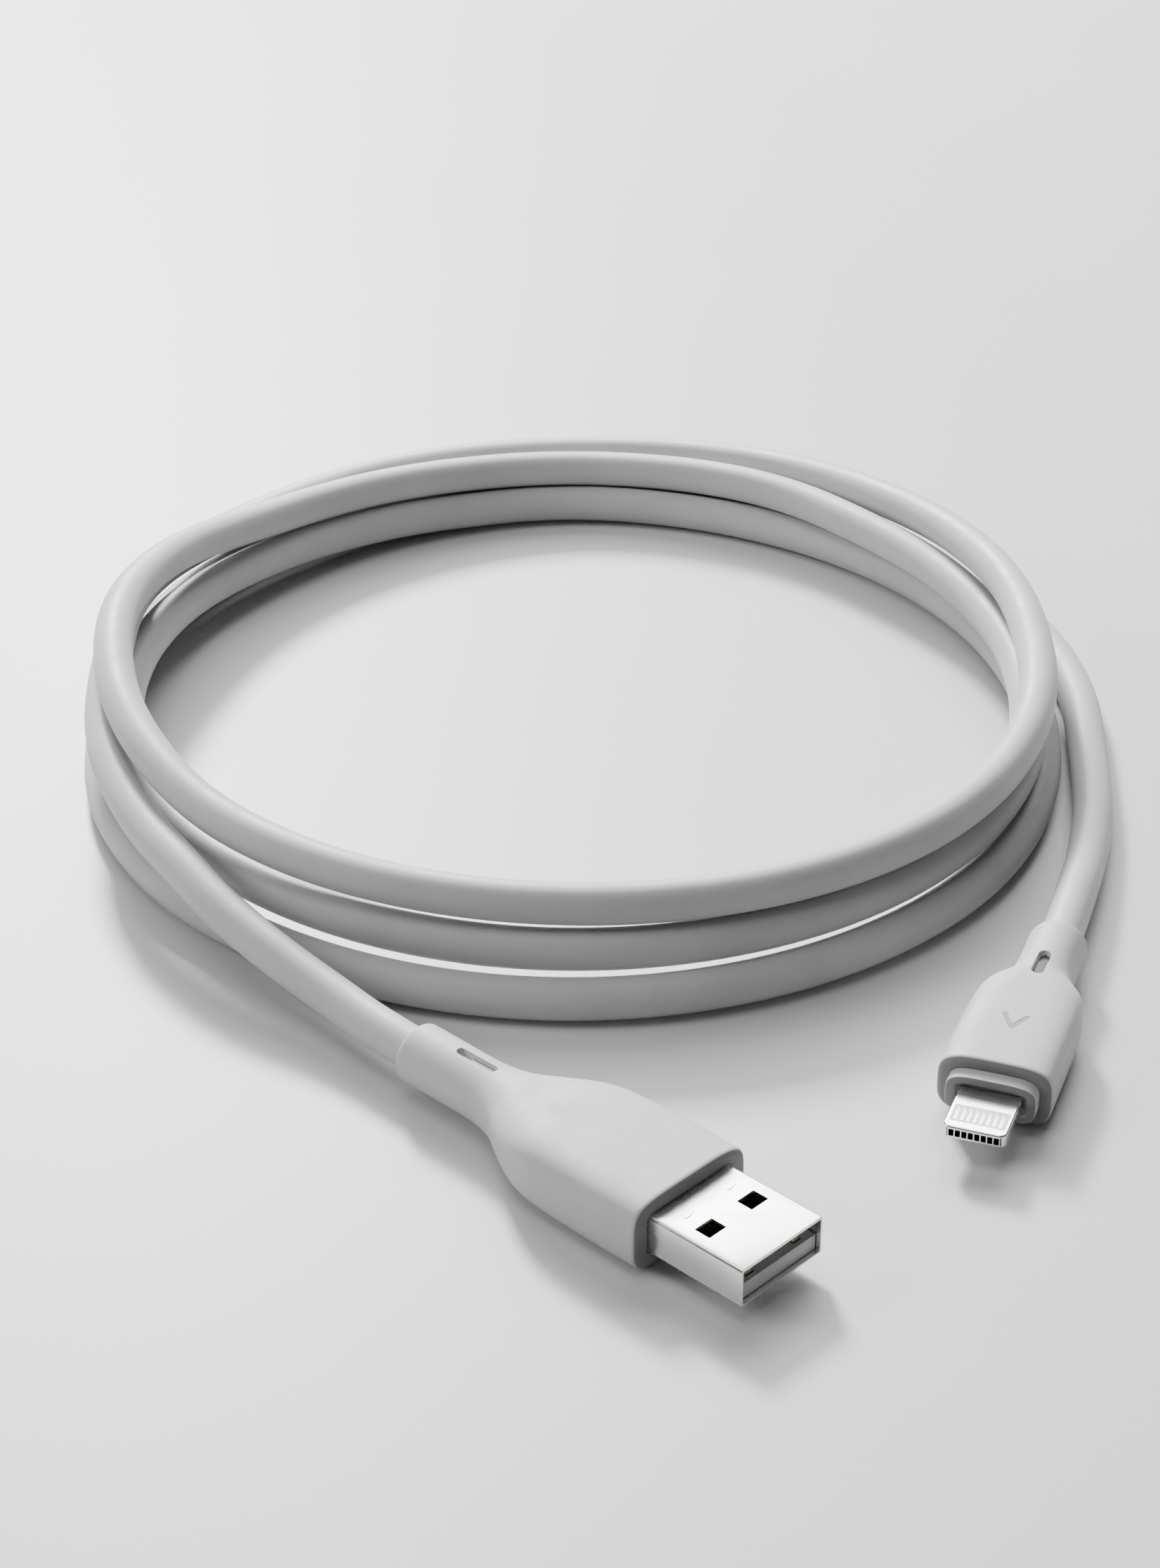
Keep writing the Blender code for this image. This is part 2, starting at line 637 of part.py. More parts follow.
def phone_tab_frame(frame):
    """The metal tab with its rounded nose, the pocket for the contacts and the flange that holds it."""
    back, flange_half, flange_front = -4.8, 4.2, -2.2
    half, radius = TAB_WIDTH / 2, TAB_CORNER_RADIUS
    nose = []
    for side, start in ((-1, 270), (1, 0)):
        for step in range(6):
            turn = math.radians(start + 90 * step / 5)
            middle_y = side * (half - radius)
            nose.append((TAB_NOSE - radius + radius * math.cos(turn), middle_y + radius * math.sin(turn)))
    outline = [(back, -flange_half), (flange_front, -flange_half), (flange_front, -half)]
    outline += nose + [(flange_front, half), (flange_front, flange_half), (back, flange_half)]
    pocket_half = TAB_POCKET_WIDTH / 2
    pocket = [
        (TAB_POCKET_BACK, -pocket_half),
        (TAB_POCKET_BACK, pocket_half),
        (TAB_POCKET_FRONT, pocket_half),
        (TAB_POCKET_FRONT, -pocket_half),
    ]
    thickness = (-TAB_THICKNESS / 2, TAB_THICKNESS / 2)
    tab = plate("phone_tab_frame", [outline, pocket], thickness, BRIGHT_METAL, frame)
    for number in range(PHONE_CONTACTS):
        middle = (number - (PHONE_CONTACTS - 1) / 2) * PHONE_CONTACT_PITCH
        recess = cutter_block(
            f"nose_recess_{number + 1}",
            (TAB_NOSE - NOSE_RECESS_DEPTH, TAB_NOSE + 1.0),
            (middle - NOSE_RECESS_WIDTH / 2, middle + NOSE_RECESS_WIDTH / 2),
            (-NOSE_RECESS_HEIGHT / 2, NOSE_RECESS_HEIGHT / 2),
            frame,
        )
        cut(tab, recess)
    root_top = TAB_THICKNESS / 2 - TAB_ROOT_STEP
    for name, z in (("top", (root_top, 2.0)), ("bottom", (-2.0, -root_top))):
        x, y = (back - 1.0, TAB_ROOT_FRONT), (-flange_half - 1.0, flange_half + 1.0)
        cut(tab, cutter_block(f"tab_root_{name}", x, y, z, frame))


def phone_contact_carrier(frame):
    """The insulator in the tab's pocket, with a groove in its top for each contact bar."""
    x = (TAB_POCKET_BACK + 2 * FINE_GAP, TAB_POCKET_FRONT - 2 * FINE_GAP)
    half = TAB_POCKET_WIDTH / 2 - 2 * FINE_GAP
    top = TAB_THICKNESS / 2 - FINE_GAP
    carrier = block("phone_contact_carrier", x, (-half, half), (-top, top), HARD_WHITE, frame)
    groove_half = PHONE_CONTACT_WIDTH / 2 + FINE_GAP
    for number in range(PHONE_CONTACTS):
        middle = (number - (PHONE_CONTACTS - 1) / 2) * PHONE_CONTACT_PITCH
        groove = cutter_block(
            f"contact_groove_{number + 1}",
            (x[0] + 0.3, x[1] - 0.3),
            (middle - groove_half, middle + groove_half),
            (top - PHONE_CONTACT_THICKNESS - FINE_GAP, top + 1.0),
            frame,
        )
        cut(carrier, groove)
        block(
            f"phone_contact_{number + 1}",
            (x[0] + 0.3 + FINE_GAP, x[1] - 0.3 - FINE_GAP),
            (middle - PHONE_CONTACT_WIDTH / 2, middle + PHONE_CONTACT_WIDTH / 2),
            (top - PHONE_CONTACT_THICKNESS, top),
            CONTACT_SILVER,
            frame,
        )


def phone_front_collar(frame):
    """The stepped ledge round the tab, with a shallow recess in its face."""
    tab_hole = rounded_rectangle(TAB_WIDTH + 2 * GAP, TAB_THICKNESS + 2 * GAP, 0.3)
    outer = rounded_rectangle(COLLAR_WIDTH, COLLAR_HEIGHT, COLLAR_RADIUS)
    collar = prism_across(
        "phone_front_collar", [outer, tab_hole], (COLLAR_BACK, COLLAR_FRONT), GRIP_GREY, frame
    )
    recess = cutter_block(
        "collar_recess", (COLLAR_RECESS_FLOOR, COLLAR_FRONT + 1.0), (-3.85, 3.85), (-1.5, 1.5), frame
    )
    cut(collar, recess)


def phone_electronics(frame):
    top, half = PHONE_BOARD_THICKNESS / 2, PHONE_BOARD_WIDTH / 2
    block("phone_circuit_board", PHONE_BOARD_X, (-half, half), (-top, top), BOARD_GREEN, frame)
    seat, half = top + FINE_GAP, PHONE_CHIP_WIDTH / 2
    z = (seat, seat + PHONE_CHIP_HEIGHT)
    block("phone_controller_chip", PHONE_CHIP_X, (-half, half), z, CHIP_BLACK, frame)
    half, z = CAPACITOR_WIDTH / 2, (seat, seat + CAPACITOR_HEIGHT)
    for number, middle in enumerate(CAPACITOR_Y, start=1):
        y = (middle - half, middle + half)
        block(f"phone_capacitor_{number}", CAPACITOR_X, y, z, CAPACITOR_TAN, frame)
    outer, inner = SHIELD_CAN_SIZES
    loops = [rounded_rectangle(*outer, 0.6), rounded_rectangle(*inner, 0.4)]
    prism_across("phone_shield_can", loops, SHIELD_CAN_X, TINNED_STEEL, frame)


def phone_grip(frame):
    grip = loft("phone_overmould", PHONE_GRIP_SECTIONS, GRIP_GREY, frame)
    x, wide, high = PHONE_CAVITY
    cut(grip, cutter_block("phone_cavity", x, (-wide, wide), (-high, high), frame))
    back, top = PHONE_GRIP_SECTIONS[0][0], PHONE_GRIP_SECTIONS[-2][2]
    for cutter in neck_cutters("phone", frame, back, PHONE_CRIMP, x[0], PHONE_NECK_SLOT, top):
        cut(grip, cutter)


def phone_plug():
    frame = connector("phone_plug_frame", PHONE_RIM, PHONE_HEADING)
    phone_tab_frame(frame)
    phone_contact_carrier(frame)
    phone_front_collar(frame)
    phone_electronics(frame)
    phone_grip(frame)
    crimp_band("phone_cable_crimp", PHONE_CRIMP, frame)
    wires("phone", frame, PHONE_WIRE_Y, PHONE_CABLE_END + GAP, PHONE_WIRE_FRONT)


type_a_plug()
phone_plug()
cable_coil()
type_a_side_cable()
phone_side_cable()
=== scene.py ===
"""The finished look of a coiled charging cable with a type-A plug and a small 8-contact phone plug.

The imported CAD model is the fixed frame. Lengths below are in millimetres and are scaled by MM.
Each connector's pieces are made about its own frame: +X out of the tip, +Y to its left, +Z up, with
the origin on its centre line in the plane of the grip's front rim.
"""

import math

import bmesh
import bpy
from mathutils import Matrix, Vector


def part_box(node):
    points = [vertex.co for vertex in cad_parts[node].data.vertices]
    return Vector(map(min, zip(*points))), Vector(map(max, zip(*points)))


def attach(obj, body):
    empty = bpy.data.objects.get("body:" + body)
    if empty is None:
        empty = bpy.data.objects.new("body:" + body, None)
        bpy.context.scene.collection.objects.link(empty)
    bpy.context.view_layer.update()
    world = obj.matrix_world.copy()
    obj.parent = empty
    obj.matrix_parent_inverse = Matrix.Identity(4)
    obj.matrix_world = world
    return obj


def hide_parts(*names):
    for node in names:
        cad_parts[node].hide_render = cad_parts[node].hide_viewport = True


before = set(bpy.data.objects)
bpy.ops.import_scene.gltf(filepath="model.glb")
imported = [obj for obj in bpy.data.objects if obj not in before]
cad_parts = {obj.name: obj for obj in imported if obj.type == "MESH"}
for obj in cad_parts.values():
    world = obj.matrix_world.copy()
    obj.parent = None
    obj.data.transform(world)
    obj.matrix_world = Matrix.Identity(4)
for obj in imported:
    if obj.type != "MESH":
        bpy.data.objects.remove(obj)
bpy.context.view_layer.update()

MM = 0.001
ROOT = "root"

# Camera, placed from the coil's centre
RING_CENTRE_OFFSET = 2.5  # the CAD ring's centre lies this far behind the coil's
CAMERA_OFFSET = (0.3, -371.5, 213.2)
CAMERA_DOWN = 30.61
CAMERA_LENS = 78.7

# Cable
CABLE_DIAMETER = 4.8
CABLE_POINT_SPACING = 2.0
PHONE_BORE_X, TYPE_A_BORE_X = (-23.0, -28.0), (-36.0, -29.0)  # route points inside the grips' bores
# The route runs from the phone plug round the coil to the type-A plug, from the coil's centre.
PHONE_SIDE_POINTS = (
    (57.5, -39.2, 3.2),
    (59.7, -30.6, 2.6),
    (61.5, -20.7, 2.45),
)
# Angle in degrees, anticlockwise from +X, then distance from the coil's centre and height.
COIL_STATIONS = (
    (-2, 62.9, 2.45),
    (18, 63.9, 2.4),
    (45, 64.6, 2.4),
    (90, 67.0, 2.4),
    (135, 63.4, 2.4),
    (180, 58.5, 2.4),
    (202, 59.5, 2.4),
    (225, 60.6, 2.4),
    (270, 61.3, 2.4),
    (315, 59.6, 2.4),
    (360, 57.3, 2.4),
    (405, 59.3, 2.45),
    (450, 62.1, 2.45),
    (465, 61.1, 2.75),
    (495, 58.2, 4.6),
    (517, 56.7, 6.2),
    (540, 55.9, 6.8),
    (562, 56.0, 6.7),
    (585, 56.7, 6.5),
    (630, 57.9, 6.65),
    (675, 57.0, 6.8),
    (720, 55.6, 7.1),
    (765, 58.2, 7.3),
    (787, 62.6, 7.1),
    (810, 64.5, 6.65),
    (832, 62.6, 7.6),
    (855, 59.4, 9.7),
    (877, 57.3, 13.8),
    (900, 56.5, 16.4),
    (922, 56.8, 15.2),
    (945, 57.0, 12.8),
    (990, 56.2, 11.45),
    (1035, 57.1, 11.7),
    (1080, 56.4, 12.1),
    (1102, 58.4, 12.1),
    (1125, 62.4, 10.4),
    (1147, 67.4, 8.1),
    (1170, 69.4, 6.65),
    (1192, 67.8, 6.9),
    (1215, 64.5, 7.3),
    (1237, 60.9, 9.65),
    (1260, 57.3, 11.6),
    (1285, 59.9, 10.5),
    (1305, 62.8, 8.8),
)
TYPE_A_SIDE_POINTS = (
    (-39.9, -50.5, 7.6),
    (-34.9, -56.0, 6.4),
    (-30.5, -60.2, 5.4),
    (-26.1, -64.5, 4.7),
    (-21.7, -69.1, 4.3),
)
STATION_STEP = 7.5  # degrees between the points read from the coil's stations
TYPE_A_CABLE_END, PHONE_CABLE_END = -20.6, -17.4  # on each connector's centre line, inside its crimp

# Connectors
TYPE_A_CRIMP_TO_RIM, PHONE_CRIMP_TO_RIM = 19.5, 18.3  # from the middle of the crimp to the grip's rim
TYPE_A_COLLAR, PHONE_COLLAR = -39.0, -29.5  # each grip's back end, where the cable goes in

# A grip's skin: X, half width, half height and the squareness of its superellipse.
TYPE_A_SKIN = (
    (-38.6, 3.4, 3.4, 2.0),
    (-34.0, 3.4, 3.4, 2.0),
    (-30.0, 3.4, 3.4, 2.0),
    (-27.0, 3.6, 3.45, 2.1),
    (-24.5, 4.3, 3.6, 2.3),
    (-22.0, 5.7, 3.8, 2.6),
    (-19.5, 7.0, 4.0, 3.0),
    (-17.0, 7.8, 4.15, 3.5),
    (-14.0, 8.1, 4.2, 4.0),
    (-8.0, 8.2, 4.2, 4.5),
    (-0.6, 8.2, 4.2, 4.5),
)
PHONE_SKIN = (
    (-29.1, 3.4, 3.4, 2.0),
    (-25.0, 3.35, 3.4, 2.0),
    (-23.0, 3.4, 3.45, 2.0),
    (-21.2, 3.55, 3.5, 2.1),
    (-20.0, 3.9, 3.55, 2.2),
    (-19.0, 4.6, 3.6, 2.4),
    (-17.8, 5.3, 3.65, 2.8),
    (-16.0, 5.8, 3.7, 3.2),
    (-13.0, 6.05, 3.7, 3.6),
    (-8.0, 6.15, 3.7, 3.8),
    (-0.6, 6.2, 3.7, 3.8),
)
COLLAR_EDGE, RIM_EDGE = 0.4, 0.6  # radii of the skin's rounded back and front edges
CABLE_SEAT = 2.43  # radius of the bore where it grips the cable
# The hollow behind each grip's mouth: X, half width, half height, squareness.
TYPE_A_HOLLOW = (
    (-0.25, 6.3, 2.55, 12.0),
    (-6.9, 6.3, 2.55, 12.0),
    (-7.0, 6.45, 2.98, 12.0),
    (-16.4, 6.45, 2.98, 12.0),
    (-16.5, 3.2, 2.9, 2.0),
    (-21.9, 3.2, 3.1, 2.0),
    (-22.0, 2.7, 2.7, 2.0),
    (-36.0, 2.7, 2.7, 2.0),
    (-36.5, CABLE_SEAT, CABLE_SEAT, 2.0),
    (-38.9, CABLE_SEAT, CABLE_SEAT, 2.0),
)
PHONE_HOLLOW = (
    (-0.06, 4.87, 2.37, 4.0),
    (-1.45, 4.87, 2.37, 4.0),
    (-1.55, 5.15, 2.65, 12.0),
    (-15.0, 5.15, 2.65, 12.0),
    (-15.1, 3.05, 3.05, 2.0),
    (-20.6, 3.05, 3.05, 2.0),
    (-20.7, 2.7, 2.7, 2.0),
    (-26.8, 2.7, 2.7, 2.0),
    (-27.2, CABLE_SEAT, CABLE_SEAT, 2.0),
    (-29.4, CABLE_SEAT, CABLE_SEAT, 2.0),
)
# The slot in each neck's top: back, front, width, and its depth at the back and at the front.
TYPE_A_SLOT = (-32.8, -27.2, 1.0, 0.88, 0.45)
PHONE_SLOT = (-22.8, -18.0, 1.4, 0.6, 0.42)
SLOT_SHADED_PAST = 0.25  # depth past which a slot's floor takes the rim's painted shade
TYPE_A_SLOT_DARK_PAST, PHONE_SLOT_DARK_PAST = 0.5, 0.3  # and past which it takes the near-black painted shade
SLOT_STEP = (0.28, 0.36)  # where the floor rises, as parts of the slot's length from its back
SLOT_EDGE = (-0.16, 0.05)  # where the slot's wall falls, from its outline

# Type-A connector
SHELL_WIDTH, SHELL_HEIGHT, SHELL_WALL, SHELL_CORNER = 12.0, 4.5, 0.3, 0.4
SHELL_BACK, SHELL_FRONT = -6.5, 11.95
WINDOW_LENGTH, WINDOW_WIDTH, WINDOW_X, WINDOW_Y = 2.0, 2.5, 5.3, 3.1
DIMPLE_X, DIMPLE_Y, DIMPLE_RADIUS, DIMPLE_GROOVE = 1.7, 3.1, 0.95, 0.14
TONGUE_WIDTH, TONGUE_TOP, TONGUE_BOTTOM, TONGUE_FRONT = 11.2, -0.05, -1.9, 11.4
TONGUE_BASE_FRONT, TONGUE_BASE_TOP, TONGUE_BACK = 2.0, 1.8, -9.0
# behind this X the tongue's faces are painted near-black as the shade under the shell's roof
TONGUE_SHADE_PAINTED_BEHIND = 8.6
TYPE_A_CONTACT_Y, TYPE_A_CONTACT_WIDTH = (-3.5, -1.0, 1.0, 3.5), 1.0

# Phone connector
TAB_WIDTH, TAB_THICKNESS, TAB_NOSE, TAB_BACK = 6.7, 1.5, 8.4, -4.8
TAB_CORNER, TAB_EDGE = 0.85, 0.22
POCKET_BACK, POCKET_FRONT, POCKET_WIDTH = 4.3, 7.3, 5.9
CONTACT_COUNT, CONTACT_PITCH, CONTACT_WIDTH = 8, 0.68, 0.36
RECESS_WIDTH, RECESS_HEIGHT, RECESS_DEPTH = 0.56, 0.84, 0.6
COLLAR_WIDTH, COLLAR_HEIGHT, COLLAR_SQUARENESS = 9.7, 4.7, 4.0
COLLAR_BACK, COLLAR_FRONT, COLLAR_RECESS_FLOOR = -1.5, 1.7, 1.0
COLLAR_RECESS, COLLAR_RECESS_SQUARENESS = (3.85, 1.5), 6.0  # half width and half height
TAB_CLEARANCE, TAB_HOLE_SQUARENESS = 0.06, 12.0


def coil_centre():
    low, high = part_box("cable_coil")
    middle = (low + high) / 2
    return Vector((middle.x, middle.y - RING_CENTRE_OFFSET * MM, 0.0))


def connector_frame(rear_node, front_node, crimp_to_rim):
    """A connector's frame, read from two CAD pieces on its centre line, the first its cable crimp."""
    ends = []
    for node in (rear_node, front_node):
        low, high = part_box(node)
        ends.append((low + high) / 2)
    ahead = (ends[1] - ends[0]).normalized()
    rim = ends[0] + ahead * crimp_to_rim * MM
    return Matrix.Translation(rim) @ Matrix.Rotation(math.atan2(ahead.y, ahead.x), 4, "Z")


COIL = coil_centre()
TYPE_A = connector_frame("type_a_cable_crimp", "type_a_shell", TYPE_A_CRIMP_TO_RIM)
PHONE = connector_frame("phone_cable_crimp", "phone_shield_can", PHONE_CRIMP_TO_RIM)


# Camera


def add_camera():
    data = bpy.data.cameras.new("camera")
    data.lens = CAMERA_LENS
    data.clip_start = 0.01
    camera = bpy.data.objects.new("camera", data)
    camera.location = COIL + Vector(CAMERA_OFFSET) * MM
    camera.rotation_euler = (math.radians(90 - CAMERA_DOWN), 0.0, 0.0)
    bpy.context.scene.collection.objects.link(camera)
    bpy.context.scene.camera = camera


add_camera()


# Materials


class Surface:
    """A Principled material and the nodes that feed it."""

    def __init__(self, name, roughness, metallic=0.0, specular=0.5):
        self.material = bpy.data.materials.new(name)
        self.material.use_nodes = True
        self.tree = self.material.node_tree
        self.shader = self.tree.nodes["Principled BSDF"]
        self.shader.inputs["Roughness"].default_value = roughness
        self.shader.inputs["Metallic"].default_value = metallic
        self.shader.inputs["Specular IOR Level"].default_value = specular
        self.place = self.tree.nodes.new("ShaderNodeTexCoord").outputs["Object"]

    def link(self, output, target):
        self.tree.links.new(output, target)

    def stretched(self, scale):
        mapping = self.tree.nodes.new("ShaderNodeMapping")
        mapping.inputs["Scale"].default_value = scale
        self.link(self.place, mapping.inputs["Vector"])
        return mapping.outputs["Vector"]

    def noise(self, size, detail=2.0, roughness=0.5, place=None):
        """Noise with features of about this size in millimetres."""
        node = self.tree.nodes.new("ShaderNodeTexNoise")
        node.inputs["Scale"].default_value = 1 / (size * MM)
        node.inputs["Detail"].default_value = detail
        node.inputs["Roughness"].default_value = roughness
        self.link(place or self.place, node.inputs["Vector"])
        return node.outputs["Fac"]

    def speckle(self, size):
        node = self.tree.nodes.new("ShaderNodeTexVoronoi")
        node.inputs["Scale"].default_value = 1 / (size * MM)
        self.link(self.place, node.inputs["Vector"])
        return node.outputs["Distance"]

    def colour(self, factor, dark, light, spread=(0.3, 0.7)):
        ramp = self.tree.nodes.new("ShaderNodeValToRGB")
        for element, place, tone in zip(ramp.color_ramp.elements, spread, (dark, light)):
            element.position = place
            element.color = (*tone, 1.0)
        self.link(factor, ramp.inputs["Fac"])
        self.link(ramp.outputs["Color"], self.shader.inputs["Base Color"])

    def roughness(self, factor, low, high):
        span = self.tree.nodes.new("ShaderNodeMapRange")
        span.inputs["From Min"].default_value = 0.3
        span.inputs["From Max"].default_value = 0.7
        span.inputs["To Min"].default_value = low
        span.inputs["To Max"].default_value = high
        self.link(factor, span.inputs["Value"])
        self.link(span.outputs["Result"], self.shader.inputs["Roughness"])

    def bump(self, layers):
        """Adds (height, distance in millimetres, strength) layers, one on another."""
        below = None
        for height, distance, strength in layers:
            node = self.tree.nodes.new("ShaderNodeBump")
            node.inputs["Distance"].default_value = distance * MM
            node.inputs["Strength"].default_value = strength
            self.link(height, node.inputs["Height"])
            if below:
                self.link(below, node.inputs["Normal"])
            below = node.outputs["Normal"]
        self.link(below, self.shader.inputs["Normal"])


def grey(value, warmth=0.0):
    return (value * (1 + warmth), value, value * (1 - warmth))


def soft_rubber(name, dark, light, grain, roughness):
    """Matte moulded elastomer: a fine even grain, faint cloudy tone and slightly uneven gloss."""
    made = Surface(name, roughness, specular=0.35)
    cloud = made.noise(9.0, detail=3.0)
    made.colour(cloud, grey(dark), grey(light))
    made.roughness(made.noise(3.0, detail=4.0), roughness - 0.05, roughness + 0.07)
    made.bump(
        (
            (made.noise(2.5, detail=2.0), 0.02, 0.25),
            (made.noise(grain, detail=1.0), 0.012, 0.35),
        )
    )
    made.shader.inputs["Sheen Weight"].default_value = 0.08
    made.shader.inputs["Sheen Roughness"].default_value = 0.5
    return made.material


def bright_metal(name, tone, roughness, brushed):
    """Plated sheet metal with fine lines along the connector and faint handling haze."""
    made = Surface(name, roughness, metallic=1.0)
    lines = made.noise(0.25, detail=3.0, place=made.stretched(brushed))
    haze = made.noise(2.2, detail=3.0)
    made.colour(haze, grey(tone * 0.98, 0.003), grey(tone, 0.002))
    made.roughness(haze, roughness * 0.95, roughness * 1.1)
    made.bump(((lines, 0.0003, 0.1), (haze, 0.001, 0.05)))
    return made.material


def moulded_plastic(name, dark, light, roughness, warmth=0.0):
    made = Surface(name, roughness, specular=0.45)
    made.colour(made.noise(1.2, detail=3.0), grey(dark, warmth), grey(light, warmth))
    made.roughness(made.noise(0.5, detail=3.0), roughness - 0.05, roughness + 0.08)
    made.bump(((made.noise(0.15, detail=2.0), 0.006, 0.35),))
    return made.material


def tinned_metal(name, dark, light, roughness):
    """Dull tin over steel or copper: cloudy, with a fine crystal pattern."""
    made = Surface(name, roughness, metallic=1.0)
    crystals = made.speckle(0.6)
    made.colour(crystals, grey(dark), grey(light), spread=(0.0, 0.8))
    made.roughness(made.noise(0.8, detail=3.0), roughness - 0.08, roughness + 0.1)
    made.bump(((crystals, 0.006, 0.3),))
    return made.material


def coloured_plastic(name, dark, light, roughness, feature):
    """A coloured piece whose tone wanders between two colours."""
    made = Surface(name, roughness)
    made.colour(made.noise(feature, detail=3.0), dark, light)
    made.roughness(made.noise(feature * 0.6, detail=2.0), roughness - 0.06, roughness + 0.08)
    made.bump(((made.noise(feature * 0.3), 0.004, 0.3),))
    return made.material


CABLE_JACKET = soft_rubber("cable_jacket", 0.44, 0.48, 0.22, 0.5)
GRIP = soft_rubber("grip", 0.45, 0.49, 0.18, 0.55)
# painted shade: a darker copy of the grip rubber for front-facing rim faces and shallow slot floors, which
# lie in shade
RIM_PAINTED_SHADE = soft_rubber("rim_painted_shade", 0.18, 0.21, 0.18, 0.6)
# painted shade: a near-black rubber for the deep rear of each neck slot, where the slot lies in shade
SLOT_PAINTED_DEEP_SHADE = soft_rubber("slot_painted_deep_shade", 0.05, 0.07, 0.18, 0.6)
MARK_INK = soft_rubber("mark_ink", 0.24, 0.27, 0.18, 0.55)
SHELL_METAL = bright_metal("shell_metal", 0.9, 0.27, (0.04, 1.0, 1.0))
TAB_METAL = bright_metal("tab_metal", 0.9, 0.22, (0.04, 1.0, 1.0))
CONTACT_SILVER = bright_metal("contact_silver", 0.62, 0.3, (0.1, 1.0, 1.0))
CONTACT_GOLD = coloured_plastic("contact_gold", (0.5, 0.42, 0.28), (0.6, 0.51, 0.35), 0.34, 0.9)
CONTACT_GOLD.node_tree.nodes["Principled BSDF"].inputs["Metallic"].default_value = 1.0
TINNED_STEEL = tinned_metal("tinned_steel", 0.45, 0.62, 0.38)
TONGUE_PLASTIC = moulded_plastic("tongue_plastic", 0.4, 0.44, 0.42)
# painted shade: a near-black copy of the tongue plastic for its faces under the shell
TONGUE_PAINTED_SHADE = moulded_plastic("tongue_painted_shade", 0.02, 0.03, 0.5)
CARRIER_PLASTIC = moulded_plastic("carrier_plastic", 0.78, 0.82, 0.35)
# painted shade: near-black for the inner walls of the tab's nose recesses, which lie in shade
RECESS_PAINTED_SHADE = moulded_plastic("recess_painted_shade", 0.008, 0.012, 0.5)
INNER_PLASTIC = moulded_plastic("inner_plastic", 0.7, 0.76, 0.5, warmth=0.01)
BOARD_GREEN = coloured_plastic("board_green", (0.015, 0.12, 0.05), (0.03, 0.2, 0.09), 0.4, 0.8)
CHIP_BLACK = coloured_plastic("chip_black", (0.012, 0.012, 0.013), (0.03, 0.03, 0.03), 0.45, 0.3)
CAPACITOR_TAN = coloured_plastic("capacitor_tan", (0.42, 0.28, 0.14), (0.55, 0.4, 0.22), 0.45, 0.3)
WIRE_MATERIALS = (
    coloured_plastic("wire_red", (0.45, 0.02, 0.02), (0.6, 0.03, 0.03), 0.4, 0.7),
    coloured_plastic("wire_white", (0.7, 0.7, 0.7), (0.82, 0.82, 0.82), 0.4, 0.7),
    coloured_plastic("wire_green", (0.02, 0.26, 0.05), (0.03, 0.38, 0.09), 0.4, 0.7),
    coloured_plastic("wire_black", (0.012, 0.012, 0.012), (0.03, 0.03, 0.03), 0.4, 0.7),
)


# Making pieces


def add_piece(name, data, surface, nodes, place=None):
    """Puts a finished piece in its connector's frame, on the root body, in place of its CAD nodes."""
    piece = bpy.data.objects.new(name, data)
    bpy.context.scene.collection.objects.link(piece)
    if place:
        piece.matrix_world = place
    for material in surface if isinstance(surface, tuple) else (surface,):
        data.materials.append(material)
    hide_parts(*nodes)
    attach(piece, ROOT)
    return piece


def finished_mesh(name, bm, sharp_over=35):
    bmesh.ops.recalc_face_normals(bm, faces=bm.faces[:])
    mesh = bpy.data.meshes.new(name)
    bm.to_mesh(mesh)
    bm.free()
    mesh.shade_smooth()
    mesh.set_sharp_from_angle(angle=math.radians(sharp_over))
    return mesh


def mesh_object(name, mesh):
    """A loose object for making a piece, which is removed once its mesh is read."""
    made = bpy.data.objects.new(name, mesh)
    bpy.context.scene.collection.objects.link(made)
    return made


def carved(name, mesh, cutters, bevel=None, sharp_over=35):
    """The mesh with the cutters' meshes taken out and, where asked, its sharp edges bevelled."""
    body = mesh_object(name, mesh)
    tools = [mesh_object(f"{name}_tool_{number}", cutter) for number, cutter in enumerate(cutters)]
    for tool in tools:
        modifier = body.modifiers.new(tool.name, "BOOLEAN")
        modifier.operation = "DIFFERENCE"
        modifier.solver = "EXACT"
        modifier.object = tool
    if bevel:
        modifier = body.modifiers.new("edges", "BEVEL")
        modifier.width = bevel * MM
        modifier.segments = 3
        modifier.limit_method = "ANGLE"
        modifier.angle_limit = math.radians(50)
    bpy.context.view_layer.update()
    graph = bpy.context.evaluated_depsgraph_get()
    made = bpy.data.meshes.new_from_object(body.evaluated_get(graph))
    for used in (body, *tools):
        bpy.data.objects.remove(used, do_unlink=True)
    made.name = name
    made.shade_smooth()
    made.set_sharp_from_angle(angle=math.radians(sharp_over))
    return made


def skin_between(bm, rings, joined=False):
    """Faces between rings of points with equal counts, with caps, or joined end to end as a torus."""
    loops = [[bm.verts.new(Vector(point) * MM) for point in ring] for ring in rings]
    pairs = list(zip(loops, loops[1:]))
    if joined:
        pairs.append((loops[-1], loops[0]))
    for first, second in pairs:
        count = len(first)
        for side in range(count):
            after = (side + 1) % count
            bm.faces.new((first[side], second[side], second[after], first[after]))
    if not joined:
        bm.faces.new(loops[0])
        bm.faces.new(reversed(loops[-1]))
    return loops


def rounded_rectangle(width, height, radius, steps=5, centre=(0.0, 0.0)):
    points = []
    corners = ((1, 1, 0), (-1, 1, 90), (-1, -1, 180), (1, -1, 270))
    for side, up, start in corners:
        middle_x = centre[0] + side * (width / 2 - radius)
        middle_y = centre[1] + up * (height / 2 - radius)
        for step in range(steps + 1):
            turn = math.radians(start + 90 * step / steps)
            points.append((middle_x + radius * math.cos(turn), middle_y + radius * math.sin(turn)))
    return points


